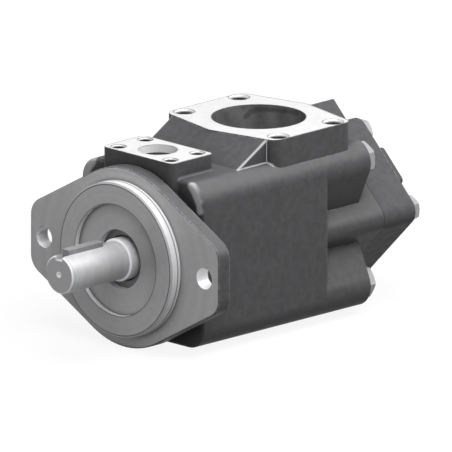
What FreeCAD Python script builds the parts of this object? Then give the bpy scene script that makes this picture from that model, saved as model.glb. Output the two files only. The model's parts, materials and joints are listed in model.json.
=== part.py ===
import FreeCAD, Part

import math
import os

from FreeCAD import Placement, Rotation, Vector
from Sketcher import Constraint

# Double vane pump with a two-bolt flange. Millimetres and degrees.
# Origin on the shaft's axis at the flange's mounting face, +Y towards the rear, +Z up.
SIZES = {
    # Mounting flange and pilot
    "flange_radius": 74.0,
    "flange_thickness": 12.7,
    "ear_margin": 16.0,
    "ear_slope": 29.2,
    "ear_corner_radius": 16.0,
    "flange_hole_spacing": 181.0,
    "flange_hole_radius": 8.75,
    "pilot_radius": 63.5,
    "pilot_height": 10.2,
    "pilot_chamfer": 1.4,
    "face_recess_radius": 45.8,
    "face_recess_depth": 4.2,
    # Cast body: a rounded square box, then a square turned 45 degrees
    "box_corner_radius": 17.7,
    "flange_neck_length": 7.3,
    "cap_length": 73.0,
    "box_length": 91.0,
    "housing_length": 156.0,
    "bolt_boss_length": 47.0,
    "bolt_boss_flare": 21.0,
    "end_lobe_radius": 12.3,
    "end_cap_thickness": 35.0,
    "rear_pad_height": 8.0,
    "rear_pad_half_width": 46.6,
    "rear_pad_scallop": 21.0,
    "cast_fillet": 3.0,
    "flange_edge": 1.6,
    "pad_root": 2.5,
    "boss_edge": 1.2,
    "box_rear_edge": 5.0,
    "rear_pad_corner": 3.5,
    "rear_pad_edge": 1.2,
    "hub_bore_room": 2.0,
    "rear_chamber_room": 8.0,
    "neck_fillet": 5.2,
    # Front pressure port pad, on top of the mounting cap
    "port1_place": 38.1,
    "port1_face_height": 82.4,
    "port1_margin_x": 10.65,
    "port1_margin_y": 8.7,
    "port1_pad_corner": 5.5,
    "port1_bore_radius": 15.9,
    "port1_bolt_span_x": 58.7,
    "port1_bolt_span_y": 30.2,
    "port1_bolt_radius": 5.3,
    "port1_bolt_depth": 22.0,
    # Suction port pad, on top of the housing
    "suction_place": 152.0,
    "suction_face_height": 88.0,
    "suction_margin_x": 9.3,
    "suction_margin_y": 11.75,
    "suction_point_rise": 13.3,
    "suction_pad_corner": 9.0,
    "suction_bore_radius": 38.1,
    "suction_bolt_span_x": 106.4,
    "suction_bolt_span_y": 61.9,
    "suction_bolt_radius": 7.0,
    "suction_bolt_depth": 27.0,
    "suction_floor_height": 56.0,
    "suction_throat_inset": 2.0,
    "ramp_half_width": 53.5,
    "ramp_step": 0.6,
    "ramp_edge": 1.5,
    "ramp_slope": 30.0,
    # Rear pressure port pad, on the end cap's upper left side
    "port2_place": 15.3,
    "port2_tilt": 45.0,
    "port2_face_height": 73.3,
    "port2_margin_long": 8.4,
    "port2_margin_short": 9.1,
    "port2_pad_corner": 4.0,
    "port2_bore_radius": 12.7,
    "port2_bolt_span_long": 52.4,
    "port2_bolt_span_short": 26.2,
    "port2_bolt_radius": 4.3,
    "port2_bolt_depth": 18.0,
    "port_floor_wall": 4.0,
    # Clamping bolts
    "long_bolt_radius": 7.9,
    "long_bolt_across_flats": 24.0,
    "long_bolt_head_height": 10.0,
    "long_bolt_thread": 30.0,
    "long_bolt_room": 4.0,
    "end_bolt_radius": 5.9,
    "end_bolt_across_flats": 19.0,
    "end_bolt_head_height": 7.5,
    "end_bolt_thread": 24.0,
    "end_bolt_room": 3.0,
    "bolt_hole_gap": 0.85,
    "thread_gap": 0.1,
    # Drive shaft and key
    "shaft_radius": 15.875,
    "shaft_reach": 74.0,
    "shaft_chamfer": 1.5,
    "shaft_shoulder_place": 9.6,
    "bearing_seat_radius": 17.5,
    "shaft_collar_radius": 21.0,
    "shaft_collar_width": 3.0,
    "shaft_neck_radius": 18.2,
    "front_spline_radius": 17.3,
    "front_spline_root": 15.2,
    "middle_shaft_radius": 15.0,
    "rear_spline_radius": 15.0,
    "rear_spline_root": 13.4,
    "front_tooth_width": 4.2,
    "rear_tooth_width": 3.5,
    "spline_teeth": 12,
    "spline_gap": 0.1,
    "shaft_end_radius": 12.5,
    "shaft_end_gap": 4.0,
    "centre_hole_radius": 1.8,
    "key_width": 7.94,
    "key_height": 7.94,
    "key_length": 38.0,
    "key_setback": 8.0,
    "key_seat_depth": 4.375,
    "keyway_cutter_radius": 30.0,
    # Shaft seal
    "seal_radius": 24.5,
    "seal_width": 8.0,
    "seal_wall": 2.0,
    "seal_shoulder_radius": 21.5,
    "seal_shoulder_length": 4.0,
    "seal_lip_gap": 0.05,
    "seal_lip_thickness": 1.0,
    "garter_radius": 0.9,
    # Ball bearing and circlips
    "bearing_place": 12.0,
    "bearing_width": 17.0,
    "bearing_radius": 36.0,
    "ball_radius": 5.55,
    "ball_count": 9,
    "ball_gap": 0.1,
    "race_height": 5.1,
    "cage_thickness": 3.0,
    "cage_width": 14.4,
    "circlip_width": 2.0,
    "circlip_depth": 1.2,
    "circlip_height": 4.0,
    # Front pumping cartridge
    "front_plate_radius": 50.0,
    "front_disc_thickness": 14.0,
    "front_neck_radius": 27.0,
    "front_guide_length": 8.0,
    "front_hub_gap": 1.5,
    "front_ring_inset": 1.0,
    "front_ring_width": 40.0,
    "front_ring_long": 37.5,
    "front_ring_short": 33.0,
    "front_ring_nose": 30.0,
    "front_rotor_radius": 32.7,
    "front_vane_height": 10.2,
    "front_vane_thickness": 2.2,
    "front_side_plate_thickness": 12.0,
    "front_chamber_radius": 46.0,
    "front_inlet_room": 6.87,
    "inlet_room_setback": 2.0,
    "inlet_chamber_radius": 44.0,
    "front_plate_hole": 19.0,
    # Rear pumping cartridge
    "rear_plate_radius": 42.0,
    "rear_disc_thickness": 13.0,
    "rear_hub_radius": 23.6,
    "rear_hub_length": 33.0,
    "rear_ring_width": 30.0,
    "rear_ring_long": 30.5,
    "rear_ring_short": 27.0,
    "rear_ring_nose": 24.5,
    "rear_rotor_radius": 26.7,
    "rear_vane_height": 7.6,
    "rear_vane_thickness": 2.0,
    "rear_side_plate_thickness": 10.0,
    "rear_chamber_radius": 38.0,
    "rear_shoulder_radius": 36.0,
    "rear_shoulder_width": 8.0,
    "rear_plate_hole": 17.0,
    "bush_wall": 5.0,
    "bush_length": 26.0,
    "bush_shoulder": 3.0,
    "bush_setback": 2.0,
    # Fits shared by both cartridges
    "vane_count": 10,
    "plate_gap": 0.1,
    "rotor_side_gap": 0.1,
    "vane_side_gap": 0.06,
    "vane_end_gap": 0.15,
    "vane_set_back": 0.3,
    "slot_root_gap": 0.4,
    "window_half_angle": 24.0,
    "front_window_inset": 3.5,
    "rear_window_inset": 2.5,
    "shaft_running_gap": 0.05,
    # Cartridge screws and dowels
    "screw_radius": 3.0,
    "screw_head_radius": 5.0,
    "screw_head_height": 6.0,
    "screw_edge": 6.5,
    "screw_thread": 9.0,
    "screw_hole_gap": 0.3,
    "blind_hole_room": 2.0,
    "dowel_radius": 2.5,
    "dowel_depth": 6.0,
    # Seal rings
    "ring_section": 1.3,
    "ring_groove_room": 0.5,
    "cap_joint_wall": 1.4,
    "end_joint_wall": 0.875,
    "end_groove_room": 0.05,
}

# The disc cutter that makes the keyway leaves the shaft at this slope
KEYWAY_EXIT = 40.0

doc = FreeCAD.newDocument("VanePump")
sheet = doc.addObject("Spreadsheet::Sheet", "Sizes")
for row, (name, size) in enumerate(SIZES.items(), start=1):
    sheet.set(f"A{row}", name)
    sheet.set(f"B{row}", str(size))
    sheet.setAlias(f"B{row}", name)
doc.recompute()


class Size:
    """A length that carries its formula in the sheet's cells beside its present value."""

    def __init__(self, formula, value):
        self.formula = formula
        self.value = value

    def __add__(self, other):
        other = sized(other)
        return Size(f"({self.formula} + {other.formula})", self.value + other.value)

    def __sub__(self, other):
        other = sized(other)
        return Size(f"({self.formula} - {other.formula})", self.value - other.value)

    def __mul__(self, other):
        other = sized(other)
        return Size(f"({self.formula} * {other.formula})", self.value * other.value)

    def __truediv__(self, other):
        other = sized(other)
        return Size(f"({self.formula} / {other.formula})", self.value / other.value)

    def __neg__(self):
        return Size(f"(0 - {self.formula})", -self.value)

    def __radd__(self, other):
        return sized(other) + self

    def __rsub__(self, other):
        return sized(other) - self

    def __rmul__(self, other):
        return sized(other) * self


def sized(number):
    return number if isinstance(number, Size) else Size(f"{float(number):.6f}", float(number))


def cell(name):
    return Size("Sizes." + name, float(sheet.get(name)))


def root(size):
    return Size(f"sqrt({size.formula})", math.sqrt(size.value))


def sine(angle):
    angle = sized(angle)
    return Size(f"sin({angle.formula} * 1 deg)", math.sin(math.radians(angle.value)))


def cosine(angle):
    angle = sized(angle)
    return Size(f"cos({angle.formula} * 1 deg)", math.cos(math.radians(angle.value)))


def bind(thing, path, size):
    thing.setExpression(path, sized(size).formula)


def turned(across, up, angle):
    """The point (across, up) turned about the origin by an angle."""
    return (across * cosine(angle) - up * sine(angle), across * sine(angle) + up * cosine(angle))


# Bodies and sketches


def new_body(label):
    body = doc.addObject("PartDesign::Body", label)
    body.Label = label
    body.AllowCompound = True
    return body


def origin_feature(body, role):
    return next(feature for feature in body.Origin.OriginFeatures if feature.Role == role)


def cross_section(body, y=0.0):
    """A sketch across the pump at a place along Y. Its axes are X and Z, and it faces forward."""
    return attached(body, "XZ_Plane", -sized(y))


def top_view(body, z=0.0):
    """A level sketch at a height. Its axes are X and Y, and it faces up."""
    return attached(body, "XY_Plane", sized(z))


def side_view(body):
    """A sketch on the pump's middle plane. Its axes are Y and Z, and it faces right."""
    return attached(body, "YZ_Plane", sized(0.0))


def attached(body, role, offset):
    drawing = body.newObject("Sketcher::SketchObject", body.Label + "_sketch")
    drawing.AttachmentSupport = (origin_feature(body, role), [""])
    drawing.MapMode = "FlatFace"
    bind(drawing, "AttachmentOffset.Base.z", offset)
    return drawing


def drive(drawing, kind, *arguments):
    """Add a dimension, its last argument, and tie it to its formula."""
    size = arguments[-1]
    index = drawing.addConstraint(Constraint(kind, *arguments[:-1], size.value))
    bind(drawing, f"Constraints[{index}]", size)


def pin(drawing, index, end, across, up):
    """Fix one point of a line, arc or circle at (across, up)."""
    across = sized(across)
    up = sized(up)
    if across.value == 0:
        drawing.addConstraint(Constraint("PointOnObject", index, end, -2))
    else:
        drive(drawing, "DistanceX", -1, 1, index, end, across)
    if up.value == 0:
        drawing.addConstraint(Constraint("PointOnObject", index, end, -1))
    else:
        drive(drawing, "DistanceY", -1, 1, index, end, up)


def circle(drawing, across, up, radius):
    radius = sized(radius)
    centre = Vector(sized(across).value, sized(up).value, 0)
    index = drawing.addGeometry(Part.Circle(centre, Vector(0, 0, 1), radius.value))
    pin(drawing, index, 3, across, up)
    drive(drawing, "Radius", index, radius)


def outline(drawing, *corners):
    """A closed outline through the corners, each (across, up) or (across, up, rounding radius)."""
    places = [Vector(sized(corner[0]).value, sized(corner[1]).value, 0) for corner in corners]
    starts = []
    ends = []
    arcs = []
    for here, corner in enumerate(corners):
        place = places[here]
        if len(corner) == 2:
            starts.append(place)
            ends.append(place)
            arcs.append(None)
            continue
        radius = sized(corner[2]).value
        back = (places[here - 1] - place).normalize()
        ahead = (places[(here + 1) % len(corners)] - place).normalize()
        half = back.getAngle(ahead) / 2
        starts.append(place + ahead * (radius / math.tan(half)))
        ends.append(place + back * (radius / math.tan(half)))
        centre = place + (back + ahead).normalize() * (radius / math.sin(half))
        left_turn = ahead.cross(back).z > 0
        first, last = (ends[-1], starts[-1]) if left_turn else (starts[-1], ends[-1])
        angles = [math.atan2(point.y - centre.y, point.x - centre.x) for point in (first, last)]
        arc = Part.ArcOfCircle(Part.Circle(centre, Vector(0, 0, 1), radius), *angles)
        arcs.append((arc, left_turn))
    lines = []
    for here in range(len(corners)):
        end = ends[(here + 1) % len(corners)]
        lines.append(drawing.addGeometry(Part.LineSegment(starts[here], end)))
    for here, corner in enumerate(corners):
        line_in = lines[here - 1]
        line_out = lines[here]
        if arcs[here] is None:
            drawing.addConstraint(Constraint("Coincident", line_in, 2, line_out, 1))
            pin(drawing, line_out, 1, corner[0], corner[1])
            continue
        arc, left_turn = arcs[here]
        index = drawing.addGeometry(arc)
        first, last = (1, 2) if left_turn else (2, 1)
        drawing.addConstraint(Constraint("Tangent", line_in, 2, index, first))
        drawing.addConstraint(Constraint("Tangent", index, last, line_out, 1))
        drive(drawing, "Radius", index, sized(corner[2]))
        point = drawing.addGeometry(Part.Point(places[here]), True)
        pin(drawing, point, 1, corner[0], corner[1])
        drawing.addConstraint(Constraint("PointOnObject", point, 1, line_in))
        drawing.addConstraint(Constraint("PointOnObject", point, 1, line_out))


def rectangle(drawing, low, high, left, right, radius=None):
    corners = [(left, low), (right, low), (right, high), (left, high)]
    if radius is not None:
        corners = [corner + (radius,) for corner in corners]
    outline(drawing, *corners)


def four_arc_oval(drawing, long, short, nose):
    """An oval of two nose arcs on the X axis and two flatter arcs on the Z axis, all tangent."""
    shift = long - nose
    flat = (short * short - nose * nose + shift * shift) / ((short - nose) * 2)
    drop = flat - short
    tilt = math.atan2(drop.value, shift.value)
    zed = Vector(0, 0, 1)
    arcs = []
    for side in (0, 1, 2, 3):
        turn = side * math.pi / 2
        radius = (nose, flat)[side % 2].value
        away = (shift, -drop)[side % 2].value
        half = (tilt, math.pi / 2 - tilt)[side % 2]
        centre = Vector(away * math.cos(turn), away * math.sin(turn), 0)
        arc = Part.ArcOfCircle(Part.Circle(centre, zed, radius), turn - half, turn + half)
        arcs.append(drawing.addGeometry(arc))
    for side in (0, 1, 2, 3):
        drawing.addConstraint(Constraint("Tangent", arcs[side], 2, arcs[(side + 1) % 4], 1))
    pin(drawing, arcs[0], 3, shift, 0)
    pin(drawing, arcs[2], 3, -shift, 0)
    for side in (0, 1, 2, 3):
        drive(drawing, "Radius", arcs[side], (nose, flat)[side % 2])


def window(drawing, inner, outer, half_angle):
    """A kidney slot centred on the shaft's axis, across the sketch's first axis."""
    middle = (inner + outer) / 2
    end_radius = (outer - inner) / 2
    half = math.radians(half_angle.value)
    zed = Vector(0, 0, 1)
    origin = Vector(0, 0, 0)
    arcs = [
        Part.ArcOfCircle(Part.Circle(origin, zed, outer.value), -half, half),
        Part.ArcOfCircle(Part.Circle(origin, zed, inner.value), -half, half),
    ]
    for side in (1, -1):
        angle = side * half
        place = Vector(middle.value * math.cos(angle), middle.value * math.sin(angle), 0)
        turn = angle if side > 0 else angle + math.pi
        arcs.append(Part.ArcOfCircle(Part.Circle(place, zed, end_radius.value), turn, turn + math.pi))
    wide, narrow, far, near = [drawing.addGeometry(arc) for arc in arcs]
    for arc in (wide, narrow):
        drawing.addConstraint(Constraint("Coincident", arc, 3, -1, 1))
    drive(drawing, "Radius", wide, outer)
    drive(drawing, "Radius", narrow, inner)
    drawing.addConstraint(Constraint("Tangent", wide, 2, far, 1))
    drawing.addConstraint(Constraint("Tangent", far, 2, narrow, 2))
    drawing.addConstraint(Constraint("Tangent", narrow, 1, near, 1))
    drawing.addConstraint(Constraint("Tangent", near, 2, wide, 1))
    reach = middle * cosine(half_angle)
    for arc in (far, near):
        drive(drawing, "DistanceX", -1, 1, arc, 3, reach)


# Features


def add_feature(body, kind, drawing):
    feature = body.newObject("PartDesign::" + kind, f"{body.Label}_{kind.lower()}")
    feature.Profile = drawing
    drawing.Visibility = False
    body.Tip = feature
    return feature


def pad(body, drawing, length, reverse=False):
    feature = add_feature(body, "Pad", drawing)
    bind(feature, "Length", length)
    feature.Reversed = reverse
    return feature


def pad_back(body, drawing, length):
    """Pad a cross section towards the rear."""
    return pad(body, drawing, length, reverse=True)


def pocket(body, drawing, depth):
    feature = add_feature(body, "Pocket", drawing)
    bind(feature, "Length", depth)
    return feature


def turn(body, drawing, cut=False):
    """Turn a side view profile round the shaft's axis."""
    feature = add_feature(body, "Groove" if cut else "Revolution", drawing)
    feature.ReferenceAxis = (origin_feature(body, "Y_Axis"), [""])
    feature.Angle = 360
    return feature


def turned_body(label, *profile):
    body = new_body(label)
    drawing = side_view(body)
    outline(drawing, *profile)
    turn(body, drawing)
    return body


def turned_cut(body, *profile):
    drawing = side_view(body)
    outline(drawing, *profile)
    return turn(body, drawing, cut=True)


def repeat(body, features, count):
    """Repeat features evenly round the shaft's axis."""
    pattern = body.newObject("PartDesign::PolarPattern", body.Label + "_pattern")
    pattern.Originals = features
    pattern.Axis = (origin_feature(body, "Y_Axis"), [""])
    pattern.Angle = 360
    bind(pattern, "Occurrences", count)
    body.Tip = pattern
    return pattern


def threaded_holes(body, drawing, radius, depth):
    """Blind tapped holes with a small countersink, at the circles of a sketch."""
    doc.recompute()
    hole = add_feature(body, "Hole", drawing)
    hole.ThreadType = 0
    bind(hole, "Diameter", radius * 2)
    bind(hole, "Depth", depth)
    hole.HoleCutType = "Countersink"
    bind(hole, "HoleCutDiameter", radius * 2.36)
    hole.HoleCutCountersinkAngle = 90
    return hole


def four_circles(drawing, x, y, span_x, span_y, radius):
    for side in (-1, 1):
        for end in (-1, 1):
            circle(drawing, x + span_x / 2 * side, y + span_y / 2 * end, radius)


def soften(body, radius, chosen):
    """Round the edges of the body's last feature that a rule picks."""
    doc.recompute()
    base = body.Tip
    names = [f"Edge{number}" for number, edge in enumerate(base.Shape.Edges, 1) if chosen(edge)]
    fillet = body.newObject("PartDesign::Fillet", body.Label + "_fillet")
    fillet.Base = (base, names)
    bind(fillet, "Radius", radius)
    body.Tip = fillet
    return fillet


def spans(edge, axis, low, high):
    """Whether the edge's box along an axis runs from low to high."""
    box = edge.BoundBox
    edges = {"x": (box.XMin, box.XMax), "y": (box.YMin, box.YMax), "z": (box.ZMin, box.ZMax)}[axis]
    return abs(edges[0] - low) < 0.05 and abs(edges[1] - high) < 0.05


def lies_at(edge, axis, place):
    return spans(edge, axis, place, place)


def at_flank(edge, across):
    """Whether the edge lies in the plane at a distance left or right of the middle."""
    return lies_at(edge, "x", across) or lies_at(edge, "x", -across)


def farthest(edge):
    """The largest distance of the edge's ends from the shaft's axis."""
    return max(math.hypot(vertex.X, vertex.Z) for vertex in edge.Vertexes)


# Driving sizes by their names
flange_radius = cell("flange_radius")
flange_thickness = cell("flange_thickness")
ear_slope = cell("ear_slope")
pilot_radius = cell("pilot_radius")
pilot_height = cell("pilot_height")
pilot_chamfer = cell("pilot_chamfer")
box_corner_radius = cell("box_corner_radius")
cast_fillet = cell("cast_fillet")
end_lobe_radius = cell("end_lobe_radius")
plate_gap = cell("plate_gap")
ring_section = cell("ring_section")
groove_room = cell("ring_groove_room")
port_floor_wall = cell("port_floor_wall")
thread_gap = cell("thread_gap")
bolt_hole_gap = cell("bolt_hole_gap")

# Bolt circles, out from each cartridge past its joint's seal ring
front_plate_bore = cell("front_plate_radius") + plate_gap
front_inlet_radius = front_plate_bore + cell("front_inlet_room")
cap_groove_half = ring_section + groove_room
cap_joint_ring = front_inlet_radius + cell("cap_joint_wall") + cap_groove_half
long_hole_radius = cell("long_bolt_radius") + bolt_hole_gap
long_bolt_circle = cap_joint_ring + cap_groove_half + cell("cap_joint_wall") + long_hole_radius
rear_plate_bore = cell("rear_plate_radius") + plate_gap
end_groove_half = ring_section + cell("end_groove_room")
end_joint_ring = rear_plate_bore + cell("end_joint_wall") + end_groove_half
end_hole_radius = cell("end_bolt_radius") + bolt_hole_gap
end_bolt_circle = end_joint_ring + end_groove_half + cell("end_joint_wall") + end_hole_radius

# The long bolts run down the middle of the box's rounded corners
corner_bolt_offset = long_bolt_circle * cosine(45)
box_half_width = corner_bolt_offset + box_corner_radius

# Pads and ears reach past their screw holes
ear_reach = cell("flange_hole_spacing") / 2 + cell("ear_margin")
suction_half_width = cell("suction_bolt_span_x") / 2 + cell("suction_margin_x")
suction_half_length = cell("suction_bolt_span_y") / 2 + cell("suction_margin_y")

# Places along the pump, worked out from the flange's face
box_start = flange_thickness + cell("flange_neck_length")
cap_joint = cell("cap_length")
box_end = cap_joint + cell("box_length")
bolt_seat = box_end + cell("bolt_boss_length")
end_joint = cap_joint + cell("housing_length")
end_bolt_seat = end_joint + cell("end_cap_thickness")
rear_face = end_bolt_seat + cell("rear_pad_height")

recess_floor = -pilot_height + cell("face_recess_depth")
key_front = -cell("shaft_reach") + cell("key_setback")
key_rear = key_front + cell("key_length")

# Bearing, from the front
bearing_front = cell("bearing_place")
bearing_rear = bearing_front + cell("bearing_width")
bearing_middle = bearing_front + cell("bearing_width") / 2
seal_rear = bearing_front - cell("seal_shoulder_length")
seal_front = seal_rear - cell("seal_width")
circlip_rear = bearing_rear + cell("circlip_width")

# Front cartridge, from the front
front_disc_rear = cap_joint - cell("front_ring_inset")
front_disc_front = front_disc_rear - cell("front_disc_thickness")
front_ring_rear = front_disc_rear + cell("front_ring_width")
front_side_rear = front_ring_rear + cell("front_side_plate_thickness")
front_guide_front = circlip_rear + cell("front_hub_gap")
front_guide_rear = front_guide_front + cell("front_guide_length")

# Rear cartridge, from the rear
rear_disc_rear = end_joint
rear_disc_front = rear_disc_rear - cell("rear_disc_thickness")
rear_ring_front = rear_disc_front - cell("rear_ring_width")
rear_side_front = rear_ring_front - cell("rear_side_plate_thickness")
rear_hub_rear = rear_disc_rear + cell("rear_hub_length")
rear_hub_bore = cell("rear_hub_radius") + plate_gap
bush_radius = cell("shaft_end_radius") + cell("shaft_running_gap") + cell("bush_wall")
bush_front = rear_hub_rear - cell("bush_setback") - cell("bush_length")
shaft_rear = rear_hub_rear - cell("shaft_end_gap")

# Suction pad: the ramp climbs from the box's top to the pad's front corner
suction_place = cell("suction_place")
suction_top = cell("suction_face_height")
port1_top = cell("port1_face_height")
port2_y = end_joint + cell("port2_place")


def turned_square(drawing, bolt_circle, lobe_radius):
    """A square standing on its corner, each corner rounded round a bolt on the bolt circle."""
    corner = bolt_circle + lobe_radius * root(sized(2))
    outline(
        drawing,
        (corner, 0, lobe_radius),
        (0, corner, lobe_radius),
        (-corner, 0, lobe_radius),
        (0, -corner, lobe_radius),
    )


def rounded_box(drawing):
    width = box_half_width
    rectangle(drawing, -width, width, -width, width, box_corner_radius)


def boss_outline(drawing):
    """The flared lobe round the upper right long bolt, narrowing outwards to its rounded tip."""
    centre = corner_bolt_offset * root(sized(2))
    flare = cell("bolt_boss_flare")
    apex = centre + box_corner_radius / sine(flare)
    foot = end_bolt_circle - end_lobe_radius
    half = (apex - foot) * sine(flare) / cosine(flare)
    outline(
        drawing,
        turned(foot, half, 45),
        turned(foot, -half, 45),
        turned(apex, sized(0), 45) + (box_corner_radius,),
    )


def ring_seat(body, radius, half, face, forward):
    """A face groove for a joint's seal ring, cut into the joint face."""
    depth = ring_section * 2
    far = face - depth if forward else face + depth
    return turned_cut(
        body, (face, radius - half), (face, radius + half), (far, radius + half), (far, radius - half)
    )


# Castings


def make_mounting_cap():
    body = new_body("mounting_cap")
    box = cross_section(body, box_start)
    rounded_box(box)
    pad_back(body, box, cap_joint - box_start)
    soften(body, cast_fillet, lambda line: lies_at(line, "y", box_start.value))
    # Flange: a round plate with two tapering ears
    tangent_x = flange_radius * sine(ear_slope)
    tangent_z = flange_radius * cosine(ear_slope)
    ear_z = (flange_radius - ear_reach * sine(ear_slope)) / cosine(ear_slope)
    ear_corner = cell("ear_corner_radius")
    drawing = cross_section(body)
    outline(
        drawing,
        (tangent_x, tangent_z),
        (ear_reach, ear_z, ear_corner),
        (ear_reach, -ear_z, ear_corner),
        (tangent_x, -tangent_z),
        (-tangent_x, -tangent_z),
        (-ear_reach, -ear_z, ear_corner),
        (-ear_reach, ear_z, ear_corner),
        (-tangent_x, tangent_z),
    )
    pad_back(body, drawing, flange_thickness)
    profile = side_view(body)
    outline(
        profile,
        (-pilot_height, 0),
        (-pilot_height, pilot_radius - pilot_chamfer),
        (-pilot_height + pilot_chamfer, pilot_radius),
        (0, pilot_radius),
        (0, flange_radius),
        (flange_thickness, flange_radius),
        (flange_thickness, box_half_width, cell("neck_fillet")),
        (cap_joint, box_half_width),
        (cap_joint, 0),
    )
    turn(body, profile)
    edge = cell("flange_edge")
    rim = flange_radius.value - 1
    soften(
        body,
        edge,
        lambda line: lies_at(line, "y", 0) and farthest(line) > rim,
    )
    # Front pressure port pad
    corner = cell("port1_pad_corner")
    half_length = cell("port1_bolt_span_y") / 2 + cell("port1_margin_y")
    half_width = cell("port1_bolt_span_x") / 2 + cell("port1_margin_x")
    port1_y = cell("port1_place")
    block = top_view(body, port1_top)
    rectangle(block, port1_y - half_length, port1_y + half_length, -half_width, half_width, corner)
    pad(body, block, port1_top - box_half_width / 2, reverse=True)
    foot = box_half_width.value
    inner = box_start.value
    soften(
        body,
        cell("pad_root"),
        lambda line: lies_at(line, "z", foot)
        and min(vertex.Y for vertex in line.Vertexes) > inner
        and farthest(line) < math.hypot(foot, half_width.value + 1),
    )
    # Bearing bore, pressure chamber and port plate seat, in one turned cut
    turned_cut(
        body,
        (recess_floor, 0),
        (recess_floor, cell("seal_radius")),
        (seal_rear, cell("seal_radius")),
        (seal_rear, cell("seal_shoulder_radius")),
        (bearing_front, cell("seal_shoulder_radius")),
        (bearing_front, cell("bearing_radius")),
        (bearing_rear, cell("bearing_radius")),
        (bearing_rear, cell("bearing_radius") + cell("circlip_depth")),
        (circlip_rear, cell("bearing_radius") + cell("circlip_depth")),
        (circlip_rear, cell("bearing_radius")),
        (front_guide_rear, cell("bearing_radius")),
        (front_guide_rear, cell("front_chamber_radius")),
        (front_disc_front, cell("front_chamber_radius")),
        (front_disc_front, front_plate_bore),
        (cap_joint, front_plate_bore),
        (cap_joint, 0),
    )
    recess = cell("face_recess_radius")
    turned_cut(
        body, (-pilot_height, 0), (-pilot_height, recess), (recess_floor, recess), (recess_floor, 0)
    )
    holes = cross_section(body)
    for side in (-1, 1):
        circle(holes, cell("flange_hole_spacing") / 2 * side, 0, cell("flange_hole_radius"))
    pocket(body, holes, flange_thickness)
    bore = top_view(body, port1_top)
    circle(bore, 0, port1_y, cell("port1_bore_radius"))
    pocket(body, bore, port1_top - cell("bearing_radius") - port_floor_wall)
    span_x = cell("port1_bolt_span_x")
    span_y = cell("port1_bolt_span_y")
    bolts = top_view(body, port1_top)
    four_circles(bolts, 0, port1_y, span_x, span_y, cell("port1_bolt_radius"))
    threaded_holes(body, bolts, cell("port1_bolt_radius"), cell("port1_bolt_depth"))
    # Tapped holes of the long bolts, drilled from the joint face forward
    tapped = cross_section(body, cap_joint)
    four_circles(
        tapped,
        sized(0),
        sized(0),
        corner_bolt_offset * 2,
        corner_bolt_offset * 2,
        cell("long_bolt_radius") + cell("thread_gap"),
    )
    feature = pocket(body, tapped, cell("long_bolt_thread") + cell("long_bolt_room"))
    feature.Reversed = True
    ring_seat(body, cap_joint_ring, cap_groove_half, cap_joint, forward=True)
    return body


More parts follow.
